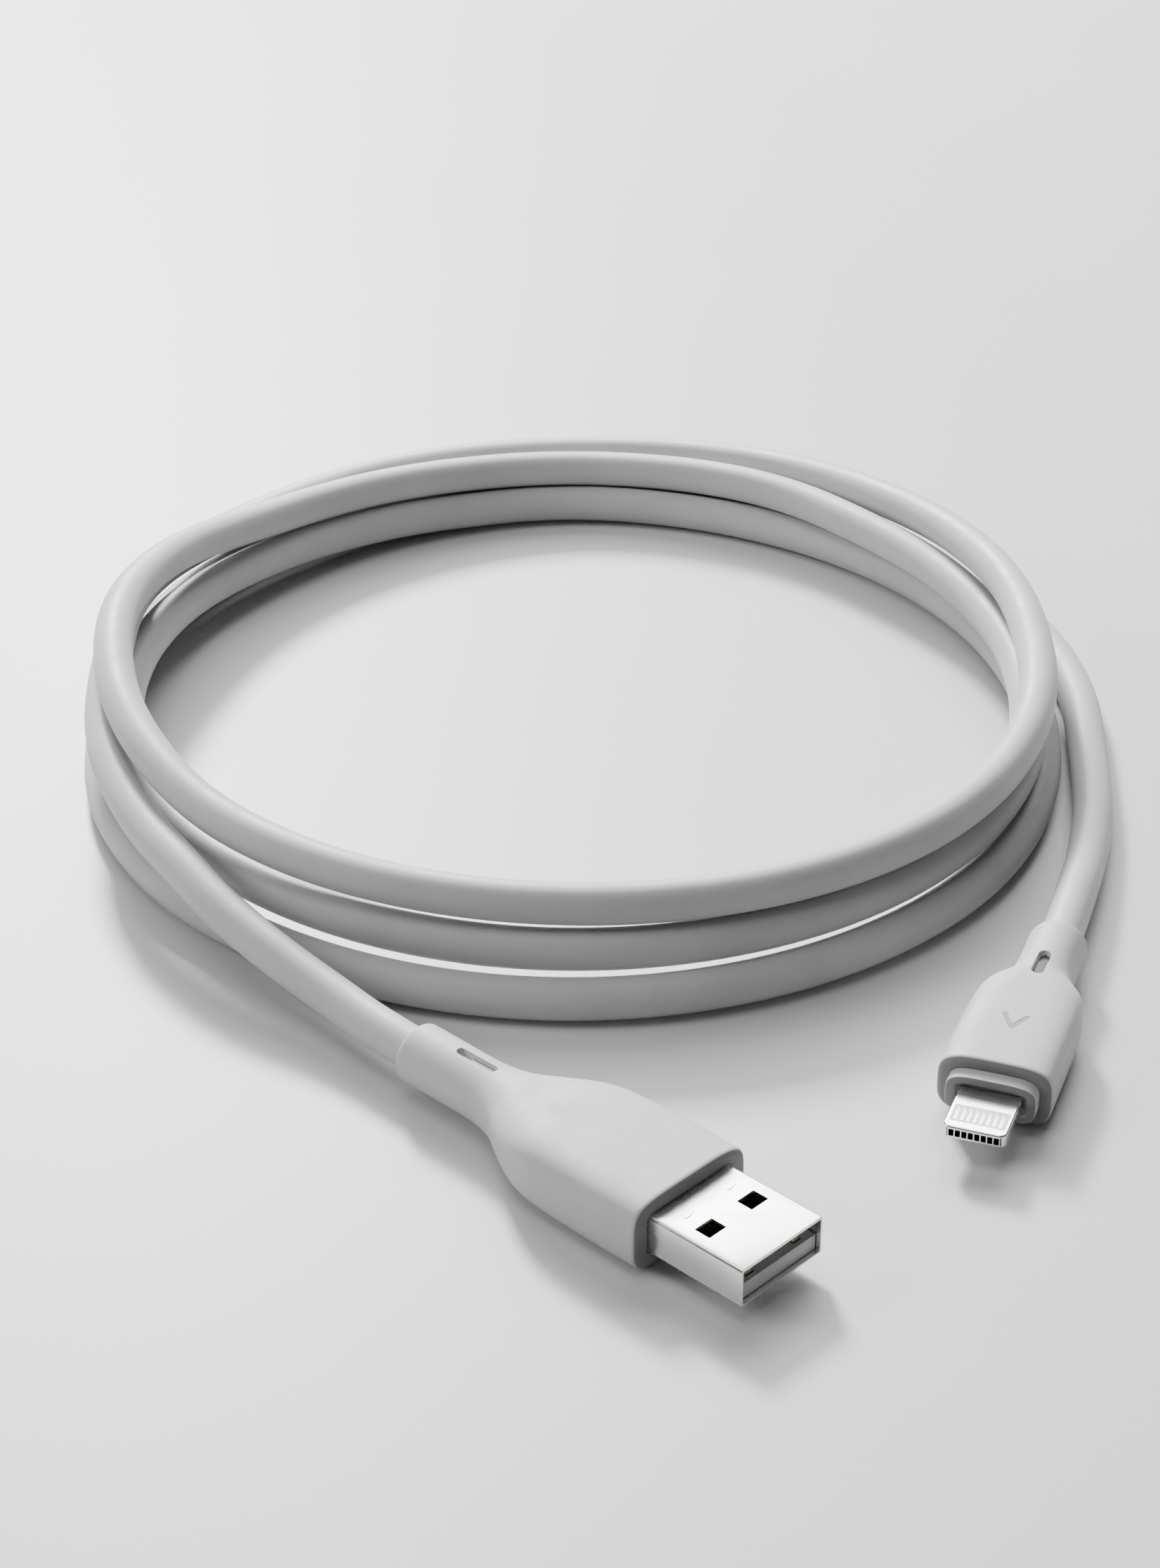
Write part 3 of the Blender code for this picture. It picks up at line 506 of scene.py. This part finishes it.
def prism_mesh(name, outline, low, high, axis):
    """A flat outline pushed along an axis: 'x' takes (y, z) points and 'z' takes (x, y) points."""
    bm = bmesh.new()
    rings = []
    for level in (low, high):
        if axis == "x":
            rings.append([(level, across, up) for across, up in outline])
        else:
            rings.append([(ahead, across, level) for ahead, across in outline])
    skin_between(bm, rings)
    return finished_mesh(name, bm)


def box_mesh(name, x, y, z):
    outline = [(y[0], z[0]), (y[1], z[0]), (y[1], z[1]), (y[0], z[1])]
    return prism_mesh(name, outline, x[0], x[1], "x")


# Cable


def eased(stations, values, at):
    """A smooth curve through unevenly spaced values, with each station's slope read from its neighbours."""
    index = 0
    while index < len(stations) - 2 and stations[index + 1] <= at:
        index += 1
    slopes = []
    for station in (index, index + 1):
        before, after = max(station - 1, 0), min(station + 1, len(stations) - 1)
        slopes.append((values[after] - values[before]) / (stations[after] - stations[before]))
    span = stations[index + 1] - stations[index]
    part = (at - stations[index]) / span
    square, cube = part * part, part * part * part
    return (
        (2 * cube - 3 * square + 1) * values[index]
        + (cube - 2 * square + part) * span * slopes[0]
        + (3 * square - 2 * cube) * values[index + 1]
        + (cube - square) * span * slopes[1]
    )


def coil_points():
    angles, radii, heights = zip(*COIL_STATIONS)
    count = round((angles[-1] - angles[0]) / STATION_STEP)
    points = []
    for step in range(count + 1):
        turn = angles[0] + (angles[-1] - angles[0]) * step / count
        radius, height = eased(angles, radii, turn), eased(angles, heights, turn)
        turned = math.radians(turn)
        points.append(Vector((radius * math.cos(turned), radius * math.sin(turned), height)))
    return points


def respaced(points, spacing):
    """Evenly spaced points on the smooth curve through the given ones."""
    along = [0.0]
    for first, second in zip(points, points[1:]):
        along.append(along[-1] + (second - first).length)
    count = round(along[-1] / spacing)
    coordinates = list(zip(*points))
    made = []
    for step in range(count + 1):
        at = along[-1] * step / count
        made.append(Vector([eased(along, values, at) for values in coordinates]))
    return made


def cable_route():
    """Points in metres from the phone plug's crimp, round the coil, to the type-A plug's crimp."""
    points = [PHONE @ Vector((x * MM, 0.0, 0.0)) for x in (PHONE_CABLE_END, *PHONE_BORE_X)]
    layout = [Vector(point) for point in PHONE_SIDE_POINTS]
    layout += coil_points() + [Vector(point) for point in TYPE_A_SIDE_POINTS]
    points += [COIL + point * MM for point in layout]
    points += [TYPE_A @ Vector((x * MM, 0.0, 0.0)) for x in (*TYPE_A_BORE_X, TYPE_A_CABLE_END)]
    return respaced(points, CABLE_POINT_SPACING * MM)


def add_cable():
    route = cable_route()
    curve = bpy.data.curves.new("charging_cable", "CURVE")
    curve.dimensions = "3D"
    curve.bevel_depth = CABLE_DIAMETER * MM / 2
    curve.bevel_resolution = 8
    curve.use_fill_caps = True
    spline = curve.splines.new("POLY")
    spline.points.add(len(route) - 1)
    for point, place in zip(spline.points, route):
        point.co = (*place, 1.0)
    spline.use_smooth = True
    nodes = ("cable_coil", "type_a_side_cable", "phone_side_cable")
    cable = add_piece("charging_cable", curve, CABLE_JACKET, nodes)


add_cable()


# Grips


def superellipse(x, half_width, half_height, squareness, angles):
    """Points at these angles round an upright section, each on the ray at its angle."""
    ring = []
    for turn in angles:
        across, up = math.cos(turn), math.sin(turn)
        reach = (abs(across) / half_width) ** squareness + (abs(up) / half_height) ** squareness
        radius = reach ** (-1 / squareness)
        ring.append((x, radius * across, radius * up))
    return ring


def section_angles(wide_step=2.25, fine_step=0.6, fine_half=17.0):
    """Angles round a section, closer together over its top, where the slot and the mark are."""
    angles = []
    turn = 90.0 - fine_half
    while turn < 90.0 + fine_half - 1e-6:
        angles.append(turn)
        turn += fine_step
    while turn < 450.0 - fine_half - 1e-6:
        angles.append(turn)
        turn += wide_step
    return [math.radians(turn) for turn in angles]


def stations_along(low, high, fine_spans, wide_step=0.35, fine_step=0.09):
    """X positions from low to high, closer together inside the fine spans."""
    places = [low]
    while places[-1] < high:
        x = places[-1]
        fine = any(start - wide_step <= x <= end for start, end in fine_spans)
        places.append(min(x + (fine_step if fine else wide_step), high))
    return places


def smoothstep(low, high, value):
    part = min(max((value - low) / (high - low), 0.0), 1.0)
    return part * part * (3 - 2 * part)


def slot_depth(slot, x, y):
    """Depth of a neck's round-ended slot, which is deepest at its back."""
    back, front, width, back_depth, front_depth = slot
    radius = width / 2
    nearest = min(max(x, back + radius), front - radius)
    outside = math.hypot(x - nearest, y) - radius
    floor = smoothstep(*SLOT_STEP, (x - back) / (front - back))
    depth = back_depth + (front_depth - back_depth) * floor
    return depth * (1 - smoothstep(*SLOT_EDGE, outside))


def segment_distance(x, y, start, end):
    along = Vector((end[0] - start[0], end[1] - start[1]))
    offset = Vector((x - start[0], y - start[1]))
    part = min(max(offset.dot(along) / along.length_squared, 0.0), 1.0)
    return (offset - along * part).length


MARK_TIP, MARK_BACK, MARK_SPREAD, MARK_HALF_LINE, MARK_DEPTH = -7.0, -9.2, 1.2, 0.3, 0.05


def mark_distance(x, y):
    """Distance outside a plain arrowhead that points to the tip."""
    tip = (MARK_TIP, 0.0)
    wings = [(MARK_BACK, side * MARK_SPREAD) for side in (-1, 1)]
    return min(segment_distance(x, y, wing, tip) for wing in wings) - MARK_HALF_LINE


def collar_rings(angles, back, radius):
    """The rounded back edge, from the cable's bore out to the skin."""
    rings = [superellipse(back + 0.1, CABLE_SEAT, CABLE_SEAT, 2.0, angles)]
    rings.append(superellipse(back, CABLE_SEAT + 0.1, CABLE_SEAT + 0.1, 2.0, angles))
    for step in range(6):
        turn = math.radians(90 * step / 5)
        x = back + COLLAR_EDGE * (1 - math.cos(turn))
        reach = radius - COLLAR_EDGE * (1 - math.sin(turn))
        rings.append(superellipse(x, reach, reach, 2.0, angles))
    return rings


def rim_rings(angles, skin_end, mouth):
    """The rounded front edge, the flat rim face and the small edge of the mouth."""
    _, half_width, half_height, squareness = skin_end
    edge = -mouth[0]
    rings = []
    for step in range(1, 8):
        turn = math.radians(90 * step / 7)
        x = -RIM_EDGE * (1 - math.sin(turn))
        inset = RIM_EDGE * (1 - math.cos(turn))
        rings.append(superellipse(x, half_width - inset, half_height - inset, squareness, angles))
    outer, inner = rings[-1], superellipse(0.0, mouth[1] + edge, mouth[2] + edge, mouth[3], angles)
    for part in (0.1, 0.5, 1.0):
        rings.append([tuple(Vector(a).lerp(Vector(b), part)) for a, b in zip(outer, inner)])
    for step in range(1, 4):
        turn = math.radians(90 * step / 4)
        grow = edge * (1 - math.sin(turn))
        x = -edge * (1 - math.cos(turn))
        rings.append(superellipse(x, mouth[1] + grow, mouth[2] + grow, mouth[3], angles))
    return rings


ON_PAINTED_SHADE, ON_PAINTED_DEEP_SHADE, ON_MARK = 1, 2, 3  # places in a grip's list of materials
FACING = 0.6  # least part of a face's normal along X for it to count as a front face


def grip_mesh(name, skin, hollow, back, slot, dark_past, marked):
    """One closed wall: the skin, the rim, the mouth, the hollow behind it and the cable's bore."""
    angles = section_angles()
    fine = [(slot[0], slot[1])]
    if marked:
        fine.append((MARK_BACK - 0.4, MARK_TIP + 0.4))
    columns = list(zip(*skin))
    rings = collar_rings(angles, back, skin[0][1])
    for x in stations_along(skin[0][0], skin[-1][0], fine)[1:]:
        section = [eased(columns[0], values, x) for values in columns[1:]]
        ring = []
        for place in superellipse(x, *section, angles):
            depth = slot_depth(slot, x, place[1]) if place[2] > 0 else 0.0
            if marked and place[2] > 0:
                depth += MARK_DEPTH * (1 - smoothstep(-0.06, 0.06, mark_distance(x, place[1])))
            ring.append((place[0], place[1], place[2] - depth))
        rings.append(ring)
    rings += rim_rings(angles, skin[-1], hollow[0])
    rings += [superellipse(*section, angles) for section in hollow]
    bm = bmesh.new()
    skin_between(bm, rings, joined=True)
    mesh = finished_mesh(name, bm, sharp_over=60)
    for face in mesh.polygons:
        place = face.center / MM
        top = place.z > 0 and face.normal.z > 0.5
        # front rim faces and shallow slot floors take the darker painted shade
        if place.x > -RIM_EDGE * 0.6 and face.normal.x > FACING:
            face.material_index = ON_PAINTED_SHADE
        # the deep part of a slot's floor takes the near-black painted shade
        elif top and slot_depth(slot, place.x, place.y) > dark_past:
            face.material_index = ON_PAINTED_DEEP_SHADE
        elif top and slot_depth(slot, place.x, place.y) > SLOT_SHADED_PAST:
            face.material_index = ON_PAINTED_SHADE
        elif marked and top and mark_distance(place.x, place.y) < 0.02:
            face.material_index = ON_MARK
    return mesh


def add_grips():
    mesh = grip_mesh("type_a_grip", TYPE_A_SKIN, TYPE_A_HOLLOW, TYPE_A_COLLAR, TYPE_A_SLOT,
                     TYPE_A_SLOT_DARK_PAST, marked=False)
    add_piece("type_a_grip", mesh, (GRIP, RIM_PAINTED_SHADE, SLOT_PAINTED_DEEP_SHADE), ("type_a_overmould",), TYPE_A)
    mesh = grip_mesh("phone_grip", PHONE_SKIN, PHONE_HOLLOW, PHONE_COLLAR, PHONE_SLOT,
                     PHONE_SLOT_DARK_PAST, marked=True)
    surfaces = (GRIP, RIM_PAINTED_SHADE, SLOT_PAINTED_DEEP_SHADE, MARK_INK)
    add_piece("phone_grip", mesh, surfaces, ("phone_overmould",), PHONE)


add_grips()


# Type-A plug


def shell_tube():
    """The folded sheet as one closed wall, with its front edge rounded over."""
    bm = bmesh.new()
    rings = []
    outer_edge = 0.1
    for x, inset in (
        (SHELL_BACK, 0.0),
        (SHELL_FRONT - outer_edge, 0.0),
        (SHELL_FRONT - outer_edge * 0.3, outer_edge * 0.3),
        (SHELL_FRONT, outer_edge),
        (SHELL_FRONT, SHELL_WALL - 0.04),
        (SHELL_FRONT - 0.04, SHELL_WALL),
        (SHELL_BACK, SHELL_WALL),
    ):
        radius = max(SHELL_CORNER - inset, 0.12)
        outline = rounded_rectangle(SHELL_WIDTH - 2 * inset, SHELL_HEIGHT - 2 * inset, radius, 6)
        rings.append([(x, across, up) for across, up in outline])
    skin_between(bm, rings, joined=True)
    return finished_mesh("type_a_metal_shell", bm)


def dimple_groove(side, up):
    """A thin curved bar that presses a shallow arc into the sheet."""
    bm = bmesh.new()
    rings = []
    for step in range(13):
        turn = math.radians(-52 + 104 * step / 12)
        middle = Vector((DIMPLE_X + DIMPLE_RADIUS * math.cos(turn), 0.0, up * SHELL_HEIGHT / 2))
        middle.y = side * DIMPLE_Y + DIMPLE_RADIUS * math.sin(turn)
        away = Vector((math.cos(turn), math.sin(turn), 0.0))
        taper = 0.35 + 0.65 * math.sin(math.pi * step / 12)
        ring = []
        for corner in range(10):
            round_turn = 2 * math.pi * corner / 10
            offset = away * math.cos(round_turn) + Vector((0.0, 0.0, 0.6)) * math.sin(round_turn)
            ring.append(middle + offset * DIMPLE_GROOVE * taper)
        rings.append(ring)
    skin_between(bm, rings)
    return finished_mesh("dimple", bm)


def add_shell():
    cutters = []
    for side in (-1, 1):
        outline = rounded_rectangle(
            WINDOW_LENGTH, WINDOW_WIDTH, 0.12, 3, centre=(WINDOW_X, side * WINDOW_Y)
        )
        cutters.append(prism_mesh("window", outline, -SHELL_HEIGHT, SHELL_HEIGHT, "z"))
        cutters += [dimple_groove(side, up) for up in (-1, 1)]
    mesh = carved("type_a_metal_shell", shell_tube(), cutters)
    add_piece("type_a_metal_shell", mesh, SHELL_METAL, ("type_a_shell",), TYPE_A)


def add_tongue():
    """The insulator, with its contact channels open to the mouth and softened edges; its faces behind the
    mouth are painted near-black as shade.
    """
    half = TONGUE_WIDTH / 2
    outline = [
        (TONGUE_BACK, TONGUE_BOTTOM),
        (TONGUE_FRONT, TONGUE_BOTTOM),
        (TONGUE_FRONT, TONGUE_TOP),
        (TONGUE_SHADE_PAINTED_BEHIND, TONGUE_TOP),
        (TONGUE_BASE_FRONT, TONGUE_TOP),
        (TONGUE_BASE_FRONT, TONGUE_BASE_TOP),
        (TONGUE_BACK, TONGUE_BASE_TOP),
    ]
    bm = bmesh.new()
    rings = [[(x, across, z) for x, z in outline] for across in (-half, half)]
    skin_between(bm, rings)
    block = finished_mesh("type_a_insulator", bm)
    cutters = []
    for number, middle in enumerate(TYPE_A_CONTACT_Y, start=1):
        low, high = contact_in_frame(f"type_a_contact_{number}")
        wide = TYPE_A_CONTACT_WIDTH / 2 + 0.1
        x, y = (TONGUE_BACK - 1.0, high.x + 0.25), (middle - wide, middle + wide)
        cutters.append(box_mesh("channel", x, y, (low.z - 0.05, high.z + 0.15)))
    mesh = carved("type_a_insulator", block, cutters, bevel=0.08)
    for face in mesh.polygons:
        # faces behind the mouth take the near-black painted shade
        face.material_index = 0 if face.center.x > TONGUE_SHADE_PAINTED_BEHIND * MM else 1
    surfaces = (TONGUE_PLASTIC, TONGUE_PAINTED_SHADE)
    add_piece("type_a_insulator", mesh, surfaces, ("type_a_tongue",), TYPE_A)


def contact_in_frame(node):
    """A type-A contact's lowest and highest corners in its plug's frame, in millimetres."""
    inverse = TYPE_A.inverted()
    points = [inverse @ vertex.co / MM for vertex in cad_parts[node].data.vertices]
    low = Vector([min(point[axis] for point in points) for axis in range(3)])
    high = Vector([max(point[axis] for point in points) for axis in range(3)])
    return low, high


def add_type_a_contacts():
    """Plated strips with a rounded front edge that dips into the tongue."""
    for number in range(1, 5):
        node = f"type_a_contact_{number}"
        low, high = contact_in_frame(node)
        profile = [(low.x, low.z), (high.x, low.z), (high.x + 0.1, low.z + 0.04)]
        for step in range(5):
            turn = math.radians(90 * step / 4)
            profile.append((high.x - 0.35 + 0.35 * math.cos(turn), high.z - 0.15 * (1 - math.sin(turn))))
        profile.append((low.x, high.z))
        bm = bmesh.new()
        rings = [[(x, across, z) for x, z in profile] for across in (low.y, high.y)]
        skin_between(bm, rings)
        mesh = carved(f"{node}_strip", finished_mesh(f"{node}_strip", bm), (), bevel=0.03)
        add_piece(f"{node}_strip", mesh, CONTACT_GOLD, (node,), TYPE_A)


add_shell()
add_tongue()
add_type_a_contacts()


# Phone plug


def tab_mesh():
    """The metal tab: rounded nose corners and edges, the contacts' pocket and the nose recesses."""
    bm = bmesh.new()
    half_height = TAB_THICKNESS / 2
    levels = []
    for up in (-1, 1):
        steps = range(6) if up < 0 else reversed(range(6))
        for step in steps:
            turn = math.radians(90 * step / 5)
            inset = TAB_EDGE * (1 - math.sin(turn))
            height = half_height - TAB_EDGE * (1 - math.cos(turn))
            levels.append((up * height, inset))
    rings = []
    for height, inset in levels:
        half = TAB_WIDTH / 2 - inset
        nose, corner = TAB_NOSE - inset, TAB_CORNER - inset
        ring = [(TAB_BACK, half), (TAB_BACK, -half)]
        for side, start in ((-1, 270), (1, 0)):
            for step in range(11):
                turn = math.radians(start + 90 * step / 10)
                x = nose - corner + corner * math.cos(turn)
                ring.append((x, side * (half - corner) + corner * math.sin(turn)))
        rings.append([(x, across, height) for x, across in ring])
    skin_between(bm, rings)
    body = finished_mesh("phone_metal_tab", bm)
    length, middle = POCKET_FRONT - POCKET_BACK, (POCKET_FRONT + POCKET_BACK) / 2
    pocket = rounded_rectangle(length, POCKET_WIDTH, 0.2, 3, centre=(middle, 0.0))
    cutters = [prism_mesh("pocket", pocket, -2.0, 2.0, "z")]
    for number in range(CONTACT_COUNT):
        across = (number - (CONTACT_COUNT - 1) / 2) * CONTACT_PITCH
        outline = rounded_rectangle(RECESS_WIDTH, RECESS_HEIGHT, 0.06, 2, centre=(across, 0.0))
        cutters.append(prism_mesh("recess", outline, TAB_NOSE - RECESS_DEPTH, TAB_NOSE + 1.0, "x"))
    mesh = carved("phone_metal_tab", body, cutters)
    deepest, tallest = TAB_NOSE - RECESS_DEPTH - 0.01, RECESS_HEIGHT / 2 + 0.01
    # the recesses' inner walls are painted near-black as shade
    for face in mesh.polygons:
        place = face.center / MM
        inside = deepest < place.x < TAB_NOSE - 0.02 and abs(place.z) < tallest
        face.material_index = 1 if inside and abs(place.y) < TAB_WIDTH / 2 - 0.5 else 0
    return mesh


def add_tab():
    surfaces = (TAB_METAL, RECESS_PAINTED_SHADE)
    add_piece("phone_metal_tab", tab_mesh(), surfaces, ("phone_tab_frame",), PHONE)
    length, middle = POCKET_FRONT - POCKET_BACK - 0.02, (POCKET_FRONT + POCKET_BACK) / 2
    outline = rounded_rectangle(length, POCKET_WIDTH - 0.02, 0.19, 3, centre=(middle, 0.0))
    top = TAB_THICKNESS / 2 - 0.005
    cutters = []
    bar_length = length - 0.6
    for number in range(CONTACT_COUNT):
        across = (number - (CONTACT_COUNT - 1) / 2) * CONTACT_PITCH
        for up in (-1, 1):
            groove = rounded_rectangle(bar_length, CONTACT_WIDTH + 0.03, 0.1, 2, (middle, across))
            low, high = sorted((up * (top - 0.03), up * 2.0))
            cutters.append(prism_mesh("groove", groove, low, high, "z"))
    mesh = carved("phone_insert", prism_mesh("phone_insert", outline, -top, top, "z"), cutters)
    nodes = ("phone_contact_carrier",)
    add_piece("phone_insert", mesh, CARRIER_PLASTIC, nodes, PHONE)
    for number in range(CONTACT_COUNT):
        across = (number - (CONTACT_COUNT - 1) / 2) * CONTACT_PITCH
        bars = bmesh.new()
        for up in (-1, 1):
            bar = rounded_rectangle(bar_length - 0.03, CONTACT_WIDTH, 0.09, 2, (middle, across))
            low, high = sorted((up * (top - 0.03), up * (top - 0.005)))
            rings = [[(x, y, level) for x, y in bar] for level in (low, high)]
            skin_between(bars, rings)
        node = f"phone_contact_{number + 1}"
        mesh = carved(f"{node}_bars", finished_mesh(f"{node}_bars", bars), (), bevel=0.02)
        add_piece(f"{node}_bars", mesh, CONTACT_SILVER, (node,), PHONE)


def add_front_collar():
    """The stepped ledge round the tab: an oval block with rounded edges, a recess and the tab's hole."""
    angles = [2 * math.pi * step / 120 for step in range(120)]
    edge, inner_edge = 0.25, 0.12
    half = (COLLAR_WIDTH / 2, COLLAR_HEIGHT / 2)
    recess = COLLAR_RECESS
    hole = (TAB_WIDTH / 2 + TAB_CLEARANCE, TAB_THICKNESS / 2 + TAB_CLEARANCE)
    rings = [superellipse(COLLAR_BACK, *half, COLLAR_SQUARENESS, angles)]
    for step in range(6):
        turn = math.radians(90 * step / 5)
        x, inset = COLLAR_FRONT - edge * (1 - math.sin(turn)), edge * (1 - math.cos(turn))
        sides = [value - inset for value in half]
        rings.append(superellipse(x, *sides, COLLAR_SQUARENESS, angles))
    for step in range(4):
        turn = math.radians(90 * step / 3)
        x, grow = COLLAR_FRONT - inner_edge * (1 - math.cos(turn)), inner_edge * (1 - math.sin(turn))
        rings.append(superellipse(x, recess[0] + grow, recess[1] + grow, COLLAR_RECESS_SQUARENESS, angles))
    fillet = 0.1
    floor = [value - fillet for value in recess]
    rings.append(superellipse(COLLAR_RECESS_FLOOR + fillet, *recess, COLLAR_RECESS_SQUARENESS, angles))
    rings.append(superellipse(COLLAR_RECESS_FLOOR, *floor, COLLAR_RECESS_SQUARENESS, angles))
    rings.append(superellipse(COLLAR_RECESS_FLOOR, *hole, TAB_HOLE_SQUARENESS, angles))
    rings.append(superellipse(COLLAR_BACK, *hole, TAB_HOLE_SQUARENESS, angles))
    bm = bmesh.new()
    skin_between(bm, rings, joined=True)
    mesh = finished_mesh("phone_ledge", bm, sharp_over=45)
    for face in mesh.polygons:
        # the ledge's front faces take the rim's painted shade
        face.material_index = ON_PAINTED_SHADE if face.normal.x > FACING else 0
    add_piece("phone_ledge", mesh, (GRIP, RIM_PAINTED_SHADE), ("phone_front_collar",), PHONE)


add_tab()
add_front_collar()


# CAD pieces that stay as they are, inside the grips


def dress(node, material):
    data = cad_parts[node].data
    data.materials.clear()
    data.materials.append(material)


def dress_inner_pieces():
    for node in (
        "type_a_rear_shield_upper",
        "type_a_rear_shield_lower",
        "type_a_cable_crimp",
        "phone_cable_crimp",
        "phone_shield_can",
    ):
        dress(node, TINNED_STEEL)
    dress("type_a_inner_mould", INNER_PLASTIC)
    dress("phone_circuit_board", BOARD_GREEN)
    dress("phone_controller_chip", CHIP_BLACK)
    for number in (1, 2):
        dress(f"phone_capacitor_{number}", CAPACITOR_TAN)
    for plug in ("type_a", "phone"):
        for number, material in enumerate(WIRE_MATERIALS, start=1):
            dress(f"{plug}_wire_{number}", material)


dress_inner_pieces()


# Floor and light


def add_floor():
    floor = mesh_object("floor", bpy.data.meshes.new("floor"))
    reach = 4.0
    corners = [(-reach, -reach, 0.0), (reach, -reach, 0.0), (reach, reach, 0.0), (-reach, reach, 0.0)]
    floor.data.from_pydata(corners, [], [(0, 1, 2, 3)])
    made = Surface("floor", 0.45, specular=0.35)
    made.colour(made.noise(60.0, detail=2.0), grey(0.56), grey(0.58))
    floor.data.materials.append(made.material)


def add_light(name, azimuth, elevation, distance, size, power):
    """A soft panel aimed at the coil. Azimuth is from +X, anticlockwise."""
    data = bpy.data.lights.new(name, "AREA")
    data.shape = "RECTANGLE"
    data.size, data.size_y = size
    data.energy = power
    turn, up = math.radians(azimuth), math.radians(elevation)
    away = Vector((math.cos(turn) * math.cos(up), math.sin(turn) * math.cos(up), math.sin(up)))
    light = bpy.data.objects.new(name, data)
    light.location = COIL + away * distance
    light.rotation_euler = away.to_track_quat("Z", "Y").to_euler()
    bpy.context.scene.collection.objects.link(light)


def add_world(brightness):
    world = bpy.data.worlds.new("studio")
    world.use_nodes = True
    world.node_tree.nodes["Background"].inputs["Color"].default_value = (*grey(1.0), 1.0)
    world.node_tree.nodes["Background"].inputs["Strength"].default_value = brightness
    bpy.context.scene.world = world


add_floor()
add_world(0.1)
add_light("key", 103, 32, 1.5, (0.25, 0.25), 58.0)
add_light("backdrop", 88, 42, 1.5, (1.3, 0.85), 32.0)
add_light("overhead", 200, 80, 1.6, (0.8, 0.8), 8.0)
add_light("left_fill", 178, 28, 1.6, (0.8, 0.6), 14.0)
